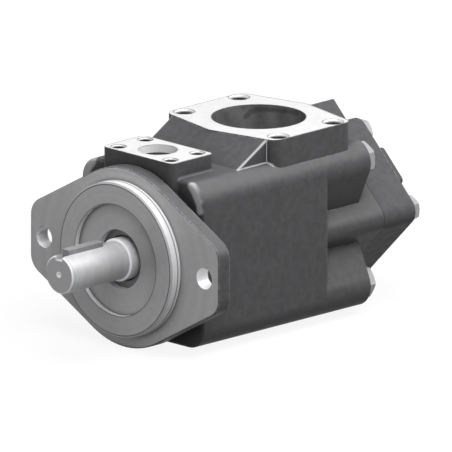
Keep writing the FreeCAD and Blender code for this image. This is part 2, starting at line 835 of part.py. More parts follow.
def make_housing():
    body = new_body("housing")
    box = cross_section(body, cap_joint)
    rounded_box(box)
    pad_back(body, box, box_end - cap_joint)
    soften(body, cell("box_rear_edge"), lambda line: lies_at(line, "y", box_end.value))
    # The tail and the bosses start where the box's rear edge begins to round off
    root_place = box_end - cell("box_rear_edge")
    tail = cross_section(body, root_place)
    turned_square(tail, end_bolt_circle, end_lobe_radius)
    pad_back(body, tail, end_joint - root_place)
    boss = cross_section(body, root_place)
    boss_outline(boss)
    repeat(body, [pad_back(body, boss, bolt_seat - root_place)], 4)
    seat = bolt_seat.value
    reach = long_bolt_circle.value
    soften(
        body, cell("boss_edge"), lambda line: lies_at(line, "y", seat) and farthest(line) > reach
    )
    # Suction pad: a long hexagon on a straight neck
    half_width = suction_half_width
    side = suction_half_length
    point = side + cell("suction_point_rise")
    corner = cell("suction_pad_corner")
    block = top_view(body, suction_top)
    outline(
        block,
        (0, suction_place - point),
        (half_width, suction_place - side, corner),
        (half_width, suction_place + side, corner),
        (0, suction_place + point),
        (-half_width, suction_place + side, corner),
        (-half_width, suction_place - side, corner),
    )
    pad(body, block, suction_top - corner_bolt_offset, reverse=True)
    ramp_slope = cell("ramp_slope")
    climb = sine(ramp_slope) / cosine(ramp_slope)
    ramp_half = cell("ramp_half_width")
    ramp_top_y = suction_place - side - (half_width - ramp_half) * (point - side) / half_width
    ramp_top_z = suction_top - cell("ramp_step")
    ramp_foot_z = ramp_top_z - (ramp_top_y - cap_joint) * climb
    ramp = side_view(body)
    outline(
        ramp,
        (cap_joint, corner_bolt_offset),
        (cap_joint, ramp_foot_z),
        (ramp_top_y, ramp_top_z),
        (suction_place, ramp_top_z),
        (suction_place, corner_bolt_offset),
    )
    wedge = pad(body, ramp, ramp_half * 2)
    wedge.Midplane = True
    # Chambers for both cartridges with the inlet chamber between them
    inlet_room_rear = front_ring_rear - cell("inlet_room_setback")
    shoulder_front = rear_side_front - cell("rear_shoulder_width")
    turned_cut(
        body,
        (cap_joint, 0),
        (cap_joint, front_inlet_radius),
        (inlet_room_rear, front_inlet_radius),
        (inlet_room_rear, front_plate_bore),
        (front_side_rear, front_plate_bore),
        (front_side_rear, cell("inlet_chamber_radius")),
        (shoulder_front, cell("inlet_chamber_radius")),
        (shoulder_front, cell("rear_shoulder_radius")),
        (rear_side_front, cell("rear_shoulder_radius")),
        (rear_side_front, rear_plate_bore),
        (end_joint, rear_plate_bore),
        (end_joint, 0),
    )
    bore = top_view(body, suction_top)
    circle(bore, 0, suction_place, cell("suction_bore_radius"))
    pocket(body, bore, suction_top - cell("suction_floor_height"))
    throat = top_view(body, cell("suction_floor_height"))
    throat_radius = (shoulder_front - front_side_rear) / 2 - cell("suction_throat_inset")
    circle(throat, 0, (front_side_rear + shoulder_front) / 2, throat_radius)
    pocket(body, throat, cell("suction_floor_height") - cell("inlet_chamber_radius") / 2)
    span_x = cell("suction_bolt_span_x")
    span_y = cell("suction_bolt_span_y")
    bolts = top_view(body, suction_top)
    four_circles(bolts, 0, suction_place, span_x, span_y, cell("suction_bolt_radius"))
    threaded_holes(body, bolts, cell("suction_bolt_radius"), cell("suction_bolt_depth"))
    through = cross_section(body, cap_joint)
    span = corner_bolt_offset * 2
    four_circles(through, sized(0), sized(0), span, span, long_hole_radius)
    pocket(body, through, bolt_seat - cap_joint)
    tapped = cross_section(body, end_joint)
    circle(tapped, end_bolt_circle, 0, cell("end_bolt_radius") + cell("thread_gap"))
    blind = pocket(body, tapped, cell("end_bolt_thread") + cell("end_bolt_room"))
    blind.Reversed = True
    repeat(body, [blind], 4)
    flank = ramp_half.value
    soften(
        body,
        cell("ramp_edge"),
        lambda line: at_flank(line, flank) and line.BoundBox.YLength > 1 and line.BoundBox.ZLength > 1,
    )
    return body


def make_end_cap():
    body = new_body("end_cap")
    plate = cross_section(body, end_joint)
    turned_square(plate, end_bolt_circle, end_lobe_radius)
    pad_back(body, plate, end_bolt_seat - end_joint)
    # Raised pad, a square on its corner with a scallop round each bolt head
    half = cell("rear_pad_half_width")
    corner = half * root(sized(2))
    raised = cross_section(body, end_bolt_seat)
    outline(raised, (corner, 0), (0, corner), (-corner, 0), (0, -corner))
    pad_back(body, raised, cell("rear_pad_height"))
    scallop = cross_section(body, end_bolt_seat)
    circle(scallop, end_bolt_circle, 0, cell("rear_pad_scallop"))
    repeat(body, [pocket(body, scallop, cell("rear_pad_height"))], 4)
    low = end_bolt_seat.value
    high = rear_face.value
    soften(body, cell("rear_pad_corner"), lambda line: spans(line, "y", low, high))
    soften(body, cell("rear_pad_edge"), lambda line: lies_at(line, "y", high))
    # Rear pressure port pad: it overhangs the joint and stands outside the housing's flat
    top = cell("port2_face_height")
    half_length = cell("port2_bolt_span_long") / 2 + cell("port2_margin_long")
    half_width = cell("port2_bolt_span_short") / 2 + cell("port2_margin_short")
    flat = end_bolt_circle * cosine(45) + end_lobe_radius
    pad_corner = cell("port2_pad_corner")
    block = tilted_view(body, top)
    rectangle(block, port2_y - half_width, port2_y + half_width, -half_length, half_length, pad_corner)
    pad(body, block, top - flat - plate_gap, reverse=True)
    root_block = tilted_view(body, flat + plate_gap * 2)
    rectangle(root_block, end_joint, end_bolt_seat, -half_length, half_length)
    pad(body, root_block, plate_gap * 4, reverse=True)
    chamber_rear = port2_y + cell("rear_chamber_room")
    hub_floor = rear_hub_rear + cell("hub_bore_room")
    turned_cut(
        body,
        (end_joint, 0),
        (end_joint, cell("rear_chamber_radius")),
        (chamber_rear, cell("rear_chamber_radius")),
        (chamber_rear, rear_hub_bore),
        (hub_floor, rear_hub_bore),
        (hub_floor, 0),
    )
    bore = tilted_view(body, top)
    circle(bore, 0, port2_y, cell("port2_bore_radius"))
    pocket(body, bore, top - rear_hub_bore - port_floor_wall)
    long_span = cell("port2_bolt_span_long")
    short_span = cell("port2_bolt_span_short")
    bolts = tilted_view(body, top)
    four_circles(bolts, 0, port2_y, long_span, short_span, cell("port2_bolt_radius"))
    threaded_holes(body, bolts, cell("port2_bolt_radius"), cell("port2_bolt_depth"))
    through = cross_section(body, end_joint)
    circle(through, end_bolt_circle, 0, end_hole_radius)
    repeat(body, [pocket(body, through, end_bolt_seat - end_joint)], 4)
    ring_seat(body, end_joint_ring, end_groove_half, end_joint, forward=False)
    return body


def tilted_view(body, height):
    """A sketch square to the rear port's axis at a distance from the shaft's axis."""
    tilt = cell("port2_tilt")
    drawing = top_view(body)
    bind(drawing, "AttachmentOffset.Base.x", -height * sine(tilt))
    bind(drawing, "AttachmentOffset.Base.z", height * cosine(tilt))
    drawing.AttachmentOffset = Placement(drawing.AttachmentOffset.Base, Rotation(Vector(0, 1, 0), -1))
    drawing.setExpression("AttachmentOffset.Rotation.Angle", tilt.formula)
    drawing.setExpression("AttachmentOffset.Rotation.Axis.y", "-1")
    return drawing


# Shaft, key and front bearing


def make_shaft():
    radius = cell("shaft_radius")
    chamfer = cell("shaft_chamfer")
    seat = cell("bearing_seat_radius")
    collar = cell("shaft_collar_radius")
    neck = cell("shaft_neck_radius")
    middle = cell("middle_shaft_radius")
    front_root = cell("front_spline_root")
    rear_root = cell("rear_spline_root")
    end = cell("shaft_end_radius")
    collar_rear = bearing_rear + cell("shaft_collar_width")
    groove = seat - cell("circlip_depth")
    front = -cell("shaft_reach")
    shoulder = -cell("shaft_shoulder_place")
    body = turned_body(
        "shaft",
        (front, 0),
        (front, radius - chamfer),
        (front + chamfer, radius),
        (shoulder, radius),
        (shoulder + (seat - radius) / 2, seat),
        (bearing_front - cell("circlip_width"), seat),
        (bearing_front - cell("circlip_width"), groove),
        (bearing_front, groove),
        (bearing_front, seat),
        (bearing_rear, seat),
        (bearing_rear, collar),
        (collar_rear, collar),
        (collar_rear, neck),
        (front_disc_rear, neck),
        (front_disc_rear, front_root),
        (front_ring_rear, front_root),
        (front_ring_rear, middle),
        (rear_ring_front, middle),
        (rear_ring_front, rear_root),
        (rear_disc_front, rear_root),
        (rear_disc_front, end),
        (shaft_rear - chamfer, end),
        (shaft_rear, end - chamfer),
        (shaft_rear, 0),
    )
    spline(body, front_disc_rear, front_ring_rear, front_root, "front")
    spline(body, rear_ring_front, rear_disc_front, rear_root, "rear")
    # Keyway open at the shaft's end, with the run-out of a disc cutter at its rear
    floor = radius - cell("key_seat_depth")
    cutter = cell("keyway_cutter_radius")
    bend = key_rear + cutter * sine(KEYWAY_EXIT / 2) / cosine(KEYWAY_EXIT / 2)
    rise = cell("key_height")
    run = rise * cosine(KEYWAY_EXIT) / sine(KEYWAY_EXIT)
    slot = side_view(body)
    outline(
        slot,
        (front - chamfer, floor),
        (bend, floor, cutter),
        (bend + run, floor + rise),
        (front - chamfer, floor + rise),
    )
    cut = pocket(body, slot, cell("key_width"))
    cut.Midplane = True
    hole = cell("centre_hole_radius")
    turned_cut(body, (front, 0), (front, hole), (front + hole, 0))
    return body


def spline(body, start, end, root_radius, which):
    """Straight teeth along a stretch of the shaft, standing on its root."""
    half = cell(which + "_tooth_width") / 2
    tooth = cross_section(body, start)
    rectangle(tooth, -half, half, root_radius - half, cell(which + "_spline_radius"))
    repeat(body, [pad_back(body, tooth, end - start)], cell("spline_teeth"))


def make_key():
    body = new_body("shaft_key")
    floor = cell("shaft_radius") - cell("key_seat_depth")
    drawing = side_view(body)
    rectangle(drawing, floor, floor + cell("key_height"), key_front, key_rear)
    pad(body, drawing, cell("key_width")).Midplane = True
    return body


def make_shaft_seal():
    outer = cell("seal_radius")
    wall = cell("seal_wall")
    lip = cell("bearing_seat_radius") + cell("seal_lip_gap")
    skin = cell("seal_lip_thickness")
    lip_rear = seal_rear - wall
    turned_body(
        "shaft_seal",
        (seal_front, lip + skin),
        (seal_front, outer),
        (seal_rear, outer),
        (seal_rear, outer - wall),
        (seal_front + wall, outer - wall),
        (seal_front + wall, lip + skin * 2),
        (lip_rear, lip + skin * 3 / 2),
        (lip_rear, lip + skin / 2),
        (lip_rear - wall, lip),
    )
    garter = new_body("seal_garter_spring")
    drawing = side_view(garter)
    section = cell("garter_radius")
    circle(drawing, lip_rear - wall / 2, lip + skin * 2 + section, section)
    turn(garter, drawing)


def make_bearing():
    ball = cell("ball_radius")
    ball_circle = (cell("bearing_seat_radius") + cell("bearing_radius")) / 2
    groove = ball + cell("ball_gap")
    height = cell("race_height")
    races = {
        "bearing_inner_race": (cell("bearing_seat_radius"), cell("bearing_seat_radius") + height),
        "bearing_outer_race": (cell("bearing_radius") - height, cell("bearing_radius")),
    }
    for label, (inner, outer) in races.items():
        body = new_body(label)
        drawing = side_view(body)
        rectangle(drawing, inner, outer, bearing_front, bearing_rear)
        turn(body, drawing)
        track = side_view(body)
        circle(track, bearing_middle, ball_circle, groove)
        turn(body, track, cut=True)
    balls = new_body("bearing_balls")
    profile = top_view(balls, ball_circle)
    bind(profile, "AttachmentOffset.Base.y", bearing_middle)
    half_disc = Part.ArcOfCircle(Part.Circle(Vector(), Vector(0, 0, 1), ball.value), 0, math.pi)
    arc = profile.addGeometry(half_disc)
    line = profile.addGeometry(Part.LineSegment(Vector(-ball.value), Vector(ball.value)))
    profile.addConstraint(Constraint("Coincident", arc, 3, -1, 1))
    profile.addConstraint(Constraint("Coincident", arc, 2, line, 1))
    profile.addConstraint(Constraint("Coincident", arc, 1, line, 2))
    profile.addConstraint(Constraint("Horizontal", line))
    drive(profile, "Radius", arc, ball)
    first = add_feature(balls, "Revolution", profile)
    first.ReferenceAxis = (profile, ["H_Axis"])
    repeat(balls, [first], cell("ball_count"))
    cage = new_body("bearing_cage")
    half_wall = cell("cage_thickness") / 2
    half_width = cell("cage_width") / 2
    drawing = side_view(cage)
    rectangle(
        drawing,
        ball_circle - half_wall,
        ball_circle + half_wall,
        bearing_middle - half_width,
        bearing_middle + half_width,
    )
    turn(cage, drawing)
    opening = top_view(cage)
    circle(opening, 0, bearing_middle, groove)
    cut = pocket(cage, opening, ball_circle + ball)
    cut.Reversed = True
    repeat(cage, [cut], cell("ball_count"))


def make_circlips():
    """Open rings: one holds the bearing in the cap, the other holds the shaft in the bearing."""
    height = cell("circlip_height")
    width = cell("circlip_width")
    bore_groove = cell("bearing_radius") + cell("circlip_depth")
    shaft_groove = cell("bearing_seat_radius") - cell("circlip_depth")
    rings = {
        "bearing_circlip": (bearing_rear, bore_groove - height, bore_groove),
        "shaft_circlip": (bearing_front - width, shaft_groove, shaft_groove + height),
    }
    for label, (start, inner, outer) in rings.items():
        body = new_body(label)
        drawing = side_view(body)
        rectangle(drawing, inner, outer, start, start + width)
        turn(body, drawing)
        opening = cross_section(body, start)
        rectangle(opening, -outer - 1, -inner + 1, -height, height)
        pocket(body, opening, width)


# Pumping cartridges


def rim_groove(edge, bore, start, towards):
    """Points of a seal ring's groove in a rim, from start in the direction given."""
    bottom = bore - ring_section * 2
    width = (ring_section + groove_room) * 2 * towards
    return [(start, edge), (start, bottom), (start + width, bottom), (start + width, edge)]


def seal_ring(label, place, radius):
    body = new_body(label)
    drawing = side_view(body)
    circle(drawing, place, radius, ring_section)
    turn(body, drawing)


def turn_about(drawing, angle):
    """Turn a sketch in its own plane."""
    base = drawing.AttachmentOffset.Base
    drawing.AttachmentOffset = Placement(base, Rotation(Vector(0, 0, 1), angle))


def cut_windows(body, start, depth, which, angle):
    """Two kidney windows, opposite each other, where the vane chambers pass."""
    outer = cell(which + "_ring_long")
    inner = cell(which + "_rotor_radius") - cell(which + "_window_inset")
    drawing = cross_section(body, start)
    window(drawing, inner, outer, cell("window_half_angle"))
    turn_about(drawing, angle)
    repeat(body, [pocket(body, drawing, depth)], 2)


def screw_circle(which):
    return cell(which + "_plate_radius") - cell("screw_edge")


def paired_holes(body, start, depth, radius, which, upright, forward=False):
    """Two opposite holes for screws, on the X axis, or for dowels, on the Z axis."""
    reach = screw_circle(which)
    drawing = cross_section(body, start)
    for side in (-1, 1):
        if upright:
            circle(drawing, 0, reach * side, radius)
        else:
            circle(drawing, reach * side, 0, radius)
    feature = pocket(body, drawing, depth)
    feature.Reversed = forward


def make_port_plates():
    screw = cell("screw_radius") + thread_gap
    dowel = cell("dowel_radius") + thread_gap
    room = cell("blind_hole_room")
    guide = cell("bearing_radius") - plate_gap
    hole = cell("front_plate_hole")
    rim = cell("front_plate_radius")
    neck = cell("front_neck_radius")
    guide_groove = rim_groove(guide, cell("bearing_radius"), front_guide_front + room, 1)
    disc_groove = rim_groove(rim, front_plate_bore, front_disc_front + room, 1)
    front = turned_body(
        "front_port_plate",
        (front_guide_front, hole),
        (front_guide_front, guide),
        *guide_groove,
        (front_guide_rear, guide),
        (front_guide_rear, neck),
        (front_disc_front, neck),
        (front_disc_front, rim),
        *disc_groove,
        (front_disc_rear, rim),
        (front_disc_rear, hole),
    )
    thickness = cell("front_disc_thickness")
    cut_windows(front, front_disc_front, thickness, "front", -45)
    paired_holes(front, front_disc_rear, cell("screw_thread") + room, screw, "front", False, True)
    paired_holes(front, front_disc_rear, cell("dowel_depth"), dowel, "front", True, True)
    rim = cell("rear_plate_radius")
    hub = cell("rear_hub_radius")
    disc_groove = rim_groove(rim, rear_plate_bore, rear_disc_rear - room, -1)[::-1]
    hub_groove = rim_groove(hub, rear_hub_bore, rear_hub_rear - room, -1)[::-1]
    bore = bush_radius - cell("bush_shoulder")
    rear = turned_body(
        "rear_port_plate",
        (rear_disc_front, bore),
        (rear_disc_front, rim),
        *disc_groove,
        (rear_disc_rear, rim),
        (rear_disc_rear, hub),
        *hub_groove,
        (rear_hub_rear, hub),
        (rear_hub_rear, bush_radius),
        (bush_front, bush_radius),
        (bush_front, bore),
    )
    cut_windows(rear, rear_disc_front, cell("rear_disc_thickness"), "rear", -45)
    paired_holes(rear, rear_disc_front, cell("screw_thread"), screw, "rear", False)
    paired_holes(rear, rear_disc_front, cell("dowel_depth"), dowel, "rear", True)
    half = ring_section + groove_room
    seal_ring("front_hub_seal", front_guide_front + room + half, cell("bearing_radius") - ring_section)
    seal_ring("front_plate_seal", front_disc_front + room + half, front_plate_bore - ring_section)
    seal_ring("rear_plate_seal", rear_disc_rear - room - half, rear_plate_bore - ring_section)
    seal_ring("rear_hub_seal", rear_hub_rear - room - half, rear_hub_bore - ring_section)


def make_side_plate(which, start, hole, head_start):
    """The inlet side's plate: windows, dowel holes, and counterbores for the screws."""
    thickness = cell(which + "_side_plate_thickness")
    body = new_body(which + "_side_plate")
    drawing = side_view(body)
    rectangle(drawing, hole, cell(which + "_plate_radius"), start, start + thickness)
    turn(body, drawing)
    cut_windows(body, start, thickness, which, 45)
    gap = cell("screw_hole_gap")
    paired_holes(body, start, thickness, cell("screw_radius") + gap, which, False)
    head = cell("screw_head_radius") + gap
    paired_holes(body, head_start, cell("screw_head_height"), head, which, False)
    dowel = cell("dowel_radius") + thread_gap
    if which == "front":
        paired_holes(body, start, cell("dowel_depth"), dowel, which, True)
    else:
        paired_holes(body, start + thickness, cell("dowel_depth"), dowel, which, True, True)


def make_cam_ring(which, start):
    width = cell(which + "_ring_width")
    body = new_body(which + "_cam_ring")
    drawing = cross_section(body, start)
    circle(drawing, 0, 0, cell(which + "_plate_radius"))
    long = cell(which + "_ring_long")
    short = cell(which + "_ring_short")
    four_arc_oval(drawing, long, short, cell(which + "_ring_nose"))
    pad_back(body, drawing, width)
    gap = cell("screw_hole_gap")
    paired_holes(body, start, width, cell("screw_radius") + gap, which, False)
    paired_holes(body, start, width, cell("dowel_radius") + thread_gap, which, True)


def make_rotor(which, start):
    """The slotted rotor: a slot for each vane, a round root at its foot, and a splined bore."""
    side_gap = cell("rotor_side_gap")
    width = cell(which + "_ring_width") - side_gap * 2
    radius = cell(which + "_rotor_radius")
    spline_gap = cell("spline_gap")
    body = new_body(which + "_rotor")
    drawing = cross_section(body, start + side_gap)
    circle(drawing, 0, 0, radius)
    circle(drawing, 0, 0, cell(which + "_spline_root") + spline_gap)
    pad_back(body, drawing, width)
    foot = radius - cell("vane_set_back") - cell(which + "_vane_height") - cell("slot_root_gap")
    half = cell(which + "_vane_thickness") / 2 + cell("vane_side_gap")
    slot = cross_section(body, start + side_gap)
    rectangle(slot, -half, half, foot, radius + half)
    slot_root = cross_section(body, start + side_gap)
    circle(slot_root, foot, 0, half * 3 / 2)
    cuts = [pocket(body, slot, width), pocket(body, slot_root, width)]
    repeat(body, cuts, cell("vane_count"))
    half = cell(which + "_tooth_width") / 2 + spline_gap
    inner = cell(which + "_spline_root") - half
    tooth = cross_section(body, start + side_gap)
    rectangle(tooth, -half, half, inner, cell(which + "_spline_radius") + spline_gap)
    repeat(body, [pocket(body, tooth, width)], cell("spline_teeth"))


def make_vanes(which, start):
    """Vanes resting inside their slots, each a body of its own, turned to its slot."""
    end_gap = cell("vane_end_gap")
    tip = cell(which + "_rotor_radius") - cell("vane_set_back")
    foot = tip - cell(which + "_vane_height")
    half = cell(which + "_vane_thickness") / 2
    count = cell("vane_count")
    for number in range(int(count.value)):
        body = new_body(f"{which}_vane_{number + 1:02d}")
        drawing = cross_section(body, start + end_gap)
        nose = half * 3 / 4
        outline(drawing, (foot, -half), (tip, -half, nose), (tip, half, nose), (foot, half))
        pad_back(body, drawing, cell(which + "_ring_width") - end_gap * 2)
        body.Placement = Placement(Vector(0, 0, 0), Rotation(Vector(0, 1, 0), 1))
        bind(body, "Placement.Rotation.Angle", sized(360 * number) / count)


def make_screws(which, head_start, shank_start, shank_end):
    body = new_body(which + "_cartridge_screws")
    reach = screw_circle(which)
    head = cross_section(body, head_start)
    circle(head, reach, 0, cell("screw_head_radius"))
    shank = cross_section(body, shank_start)
    circle(shank, reach, 0, cell("screw_radius"))
    parts = [
        pad_back(body, head, cell("screw_head_height")),
        pad_back(body, shank, shank_end - shank_start),
    ]
    repeat(body, parts, 2)


def make_dowels(which, start):
    """Pins through the cam ring, seated in the plates on both sides of it."""
    depth = cell("dowel_depth")
    body = new_body(which + "_cartridge_dowels")
    drawing = cross_section(body, start - depth)
    circle(drawing, 0, screw_circle(which), cell("dowel_radius"))
    pin_pad = pad_back(body, drawing, cell(which + "_ring_width") + depth * 2)
    repeat(body, [pin_pad], 2)


def make_cartridges():
    thread = cell("screw_thread")
    head = cell("screw_head_height")
    make_port_plates()
    for which, start in (("front", front_disc_rear), ("rear", rear_ring_front)):
        make_cam_ring(which, start)
        make_rotor(which, start)
        make_vanes(which, start)
        make_dowels(which, start)
    front_head = front_side_rear - head
    make_side_plate("front", front_ring_rear, cell("front_plate_hole"), front_head)
    make_screws("front", front_head, front_disc_rear - thread, front_head)
    make_side_plate("rear", rear_side_front, cell("rear_plate_hole"), rear_side_front)
    make_screws("rear", rear_side_front, rear_side_front + head, rear_disc_front + thread)
    turned_body(
        "rear_bush",
        (bush_front, cell("shaft_end_radius") + cell("shaft_running_gap")),
        (bush_front, bush_radius),
        (bush_front + cell("bush_length"), bush_radius),
        (bush_front + cell("bush_length"), cell("shaft_end_radius") + cell("shaft_running_gap")),
    )


# Clamping bolts and joint seals


def make_bolts(label, place, seat, across_flats, head_height, radius, tip):
    """Hexagon bolts round the shaft's axis, the first one with two flats facing left and right."""
    body = new_body(label)
    corner = across_flats / root(sized(3))
    head = cross_section(body, seat)
    points = []
    for side in range(6):
        angle = 30 + 60 * side
        points.append((place[0] + corner * cosine(angle), place[1] + corner * sine(angle)))
    outline(head, *points)
    shank = cross_section(body, tip)
    circle(shank, place[0], place[1], radius)
    parts = [pad_back(body, head, head_height), pad_back(body, shank, seat - tip)]
    repeat(body, parts, 4)


def make_fasteners():
    make_bolts(
        "housing_bolts",
        (corner_bolt_offset, corner_bolt_offset),
        bolt_seat,
        cell("long_bolt_across_flats"),
        cell("long_bolt_head_height"),
        cell("long_bolt_radius"),
        cap_joint - cell("long_bolt_thread"),
    )
    make_bolts(
        "end_cap_bolts",
        (end_bolt_circle, sized(0)),
        end_bolt_seat,
        cell("end_bolt_across_flats"),
        cell("end_bolt_head_height"),
        cell("end_bolt_radius"),
        end_joint - cell("end_bolt_thread"),
    )
    seal_ring("cap_joint_seal", cap_joint - ring_section, cap_joint_ring)
    seal_ring("end_cap_joint_seal", end_joint + ring_section, end_joint_ring)


make_mounting_cap()
make_housing()
make_end_cap()
make_shaft()
make_key()
make_shaft_seal()
make_bearing()
make_circlips()
make_cartridges()
make_fasteners()

doc.recompute()
os.makedirs("parts", exist_ok=True)
faults = [item.Name for item in doc.Objects if "Invalid" in item.State or "Error" in item.State]
if faults:
    raise RuntimeError("failed objects: " + ", ".join(faults))
for item in doc.Objects:
    if item.TypeId == "PartDesign::Body":
        if item.Shape.isNull() or not item.Shape.isValid():
            raise RuntimeError(item.Label + " has no valid shape")
        item.Shape.exportStep(f"parts/{item.Label}.step")
        print(item.Label, len(item.Shape.Solids), round(item.Shape.Volume))
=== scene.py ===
"""Finishes, fasteners and stage of a double vane pump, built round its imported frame."""

import json
import math

import bmesh
import bpy
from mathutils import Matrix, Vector


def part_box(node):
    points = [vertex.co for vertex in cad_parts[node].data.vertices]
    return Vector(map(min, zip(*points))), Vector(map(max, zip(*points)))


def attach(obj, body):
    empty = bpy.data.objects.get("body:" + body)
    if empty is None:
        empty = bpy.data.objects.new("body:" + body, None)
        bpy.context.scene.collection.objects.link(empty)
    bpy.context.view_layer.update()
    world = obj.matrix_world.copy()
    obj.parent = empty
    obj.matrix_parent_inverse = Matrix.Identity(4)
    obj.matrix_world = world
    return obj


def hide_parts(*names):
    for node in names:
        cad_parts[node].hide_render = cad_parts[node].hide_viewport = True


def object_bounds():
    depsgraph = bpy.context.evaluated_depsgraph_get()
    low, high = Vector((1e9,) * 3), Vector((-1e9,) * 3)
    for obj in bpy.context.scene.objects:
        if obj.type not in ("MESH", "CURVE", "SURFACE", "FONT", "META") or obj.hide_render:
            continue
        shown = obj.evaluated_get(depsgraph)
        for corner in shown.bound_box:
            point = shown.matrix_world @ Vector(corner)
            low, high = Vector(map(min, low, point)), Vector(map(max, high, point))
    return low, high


bl_info = {
    "name": "Double Vane Pump",
    "version": (1, 0, 0),
    "blender": (4, 5, 0),
    "location": "3D View > Sidebar > Vane Pump",
    "description": "Gives a double vane pump its finishes, fasteners, threads and stage",
    "category": "Object",
}

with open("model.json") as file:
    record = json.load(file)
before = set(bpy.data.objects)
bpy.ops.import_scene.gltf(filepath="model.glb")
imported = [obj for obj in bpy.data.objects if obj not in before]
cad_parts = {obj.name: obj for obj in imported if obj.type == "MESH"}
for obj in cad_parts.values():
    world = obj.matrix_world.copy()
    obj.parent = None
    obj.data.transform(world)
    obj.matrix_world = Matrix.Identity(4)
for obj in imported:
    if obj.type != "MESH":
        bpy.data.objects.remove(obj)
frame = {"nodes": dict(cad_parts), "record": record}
CAD_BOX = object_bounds()
NODES = frame["nodes"]
SLOT_OF = {row["node"]: row["material_slot"] for row in frame["record"]["subparts"]}

# Directions: along the shaft to the rear, up, and out of the rear port's pad
ROOT_HALF = math.sqrt(0.5)
REARWARD = (0.0, 1.0, 0.0)
UPWARD = (0.0, 0.0, 1.0)
PORT2_OUTWARD = (-ROOT_HALF, 0.0, ROOT_HALF)

# Places on the castings and the shaft, in metres, as the frame has them
FLANGE_HOLE_X = 0.0905
PORT1 = (0.0, 0.0381, 0.0824)
PORT1_HOLES = (0.02935, 0.0151)
SUCTION = (0.0, 0.152, 0.088)
SUCTION_HOLES = (0.0532, 0.03095)
PORT2_Y = 0.2443
PORT2_HEIGHT = 0.0733
PORT2_HOLES = (0.0262, 0.0131)
LONG_BOLT_PLACE = 0.051
LONG_BOLT_SEAT = 0.211
END_BOLT_CIRCLE = 0.0533
END_BOLT_SEAT = 0.264
CAP_JOINT = 0.073
END_JOINT = 0.229
BOX_TOP = 0.0687
SHAFT_END = -0.074
SHAFT_SHOULDER = -0.0096
PILOT_RADIUS = 0.0635
PILOT_FRONT = -0.0102
RECESS_RADIUS = 0.0458

# The suction port's ramp: half width, then foot and top as places along the shaft and up
RAMP_HALF = 0.0535
RAMP_FOOT = (0.073, 0.06755)
RAMP_TOP = (0.10738, 0.0874)
# The front tip of the suction pad, half its width, and how far its front edges run back
PAD_TIP_Y = 0.096
PAD_HALF = 0.0625
PAD_RISE = 0.0133
# The fairing over the ramp: inset of its sides, round of its ridge, depth, and its grid
FAIRING_INSET = 0.0015
FAIRING_RIDGE = 0.004
FAIRING_DEPTH = 0.002
FAIRING_COLUMNS, FAIRING_ROWS = 48, 16

# How far under a machined face its bare finish reaches
FACE_SKIN = 0.0003

# Colours that the castings share
# Lighter grey of sharp edges: handling wear and painted highlight
WORN_AND_HIGHLIGHT_GREY = (0.3, 0.3, 0.31)
# Grey of painted highlights along given edges
PAINTED_HIGHLIGHT_GREY = (0.46, 0.46, 0.47)
# Grey of a milled face's border, paint lap with painted shade, and of the rings round screw holes
EDGE_LINE_GREY = (0.22, 0.22, 0.22)
# Bright bored iron, lighter still as painted light
BORED_AND_LIT_GREY = (0.88, 0.88, 0.88)
# Grey of painted light on rounds that face up
PAINTED_TOP_LIGHT_GREY = (0.2, 0.2, 0.202)
# Dark of painted shade round the pilot
PAINTED_OUTLINE_SHADE = (0.05, 0.05, 0.05)

# The picture's middle along the camera's right and up, and the camera's rise in degrees
VIEW_CENTRE = (0.08137, 0.02551)
VIEW_RISE = 15.1
LAMPS = {
    "top": (0.22, -0.12, 1.3),
    "side": (1.0, -0.55, 1.0),
    "rear": (0.8, 0.9, 1.2),
    "front": (-0.9, -1.1, 0.3),
}
LAMP_TARGET = (0.0, 0.1, 0.0)
LAMP_SIZE = 0.9
# Where the floor begins and ends to fade into the background, from under the lamps' target
FLOOR_FADE = (0.22, 0.6)


# Properties


def colour(name, description, default):
    return bpy.props.FloatVectorProperty(
        name=name, description=description, subtype="COLOR", size=3, min=0, max=1, default=default
    )


def length(name, description, default):
    return bpy.props.FloatProperty(
        name=name, description=description, unit="LENGTH", min=0, precision=5, default=default
    )


def power(name, description, default):
    return bpy.props.FloatProperty(
        name=name, description=description, unit="POWER", default=default
    )


class PumpFinish(bpy.types.PropertyGroup):
    """Colours of the pump's surfaces"""

    paint: colour("Casting Paint", "Satin paint of the castings", (0.082, 0.082, 0.085))
    machined: colour("Turned Iron", "Turned front faces of the flange", (0.41, 0.41, 0.415))
    milled: colour("Milled Pad", "Sealing faces of the ports", (0.66, 0.66, 0.66))
    steel: colour("Shaft Steel", "Ground drive shaft", (0.49, 0.49, 0.5))
    zinc: colour("Bolt Plating", "Zinc plate of the clamping bolts", (0.33, 0.333, 0.337))
    paint_grain: length("Paint Grain", "Size of the cast skin's grains", 0.0011)
    # An edge's light line is handling wear and painted highlight
    edge_width: length("Edge Width", "How far an edge's light rub reaches", 0.0016)
    # The grey border of a milled face is paint lap with painted shade
    lap_and_shade_width: length("Paint Lap", "How far the paint laps onto a milled face's border", 0.0024)


class PumpHardware(bpy.types.PropertyGroup):
    """Sizes of the bolts and threads"""

    long_flats: length("Long Bolt Flats", "Across the flats of a long bolt's head", 0.024)
    long_head: length("Long Bolt Head", "Height of a long bolt's head", 0.010)
    long_shank: length("Long Bolt Radius", "Radius of a long bolt's shank", 0.0079)
    end_flats: length("End Bolt Flats", "Across the flats of an end bolt's head", 0.019)
    end_head: length("End Bolt Head", "Height of an end bolt's head", 0.0075)
    end_shank: length("End Bolt Radius", "Radius of an end bolt's shank", 0.0059)
    thread_pitch: length("Thread Pitch", "Pitch of the port screws' threads", 0.0018)
    thread_rise: length("Thread Rise", "How far a thread's crest stands in from its hole", 0.00035)


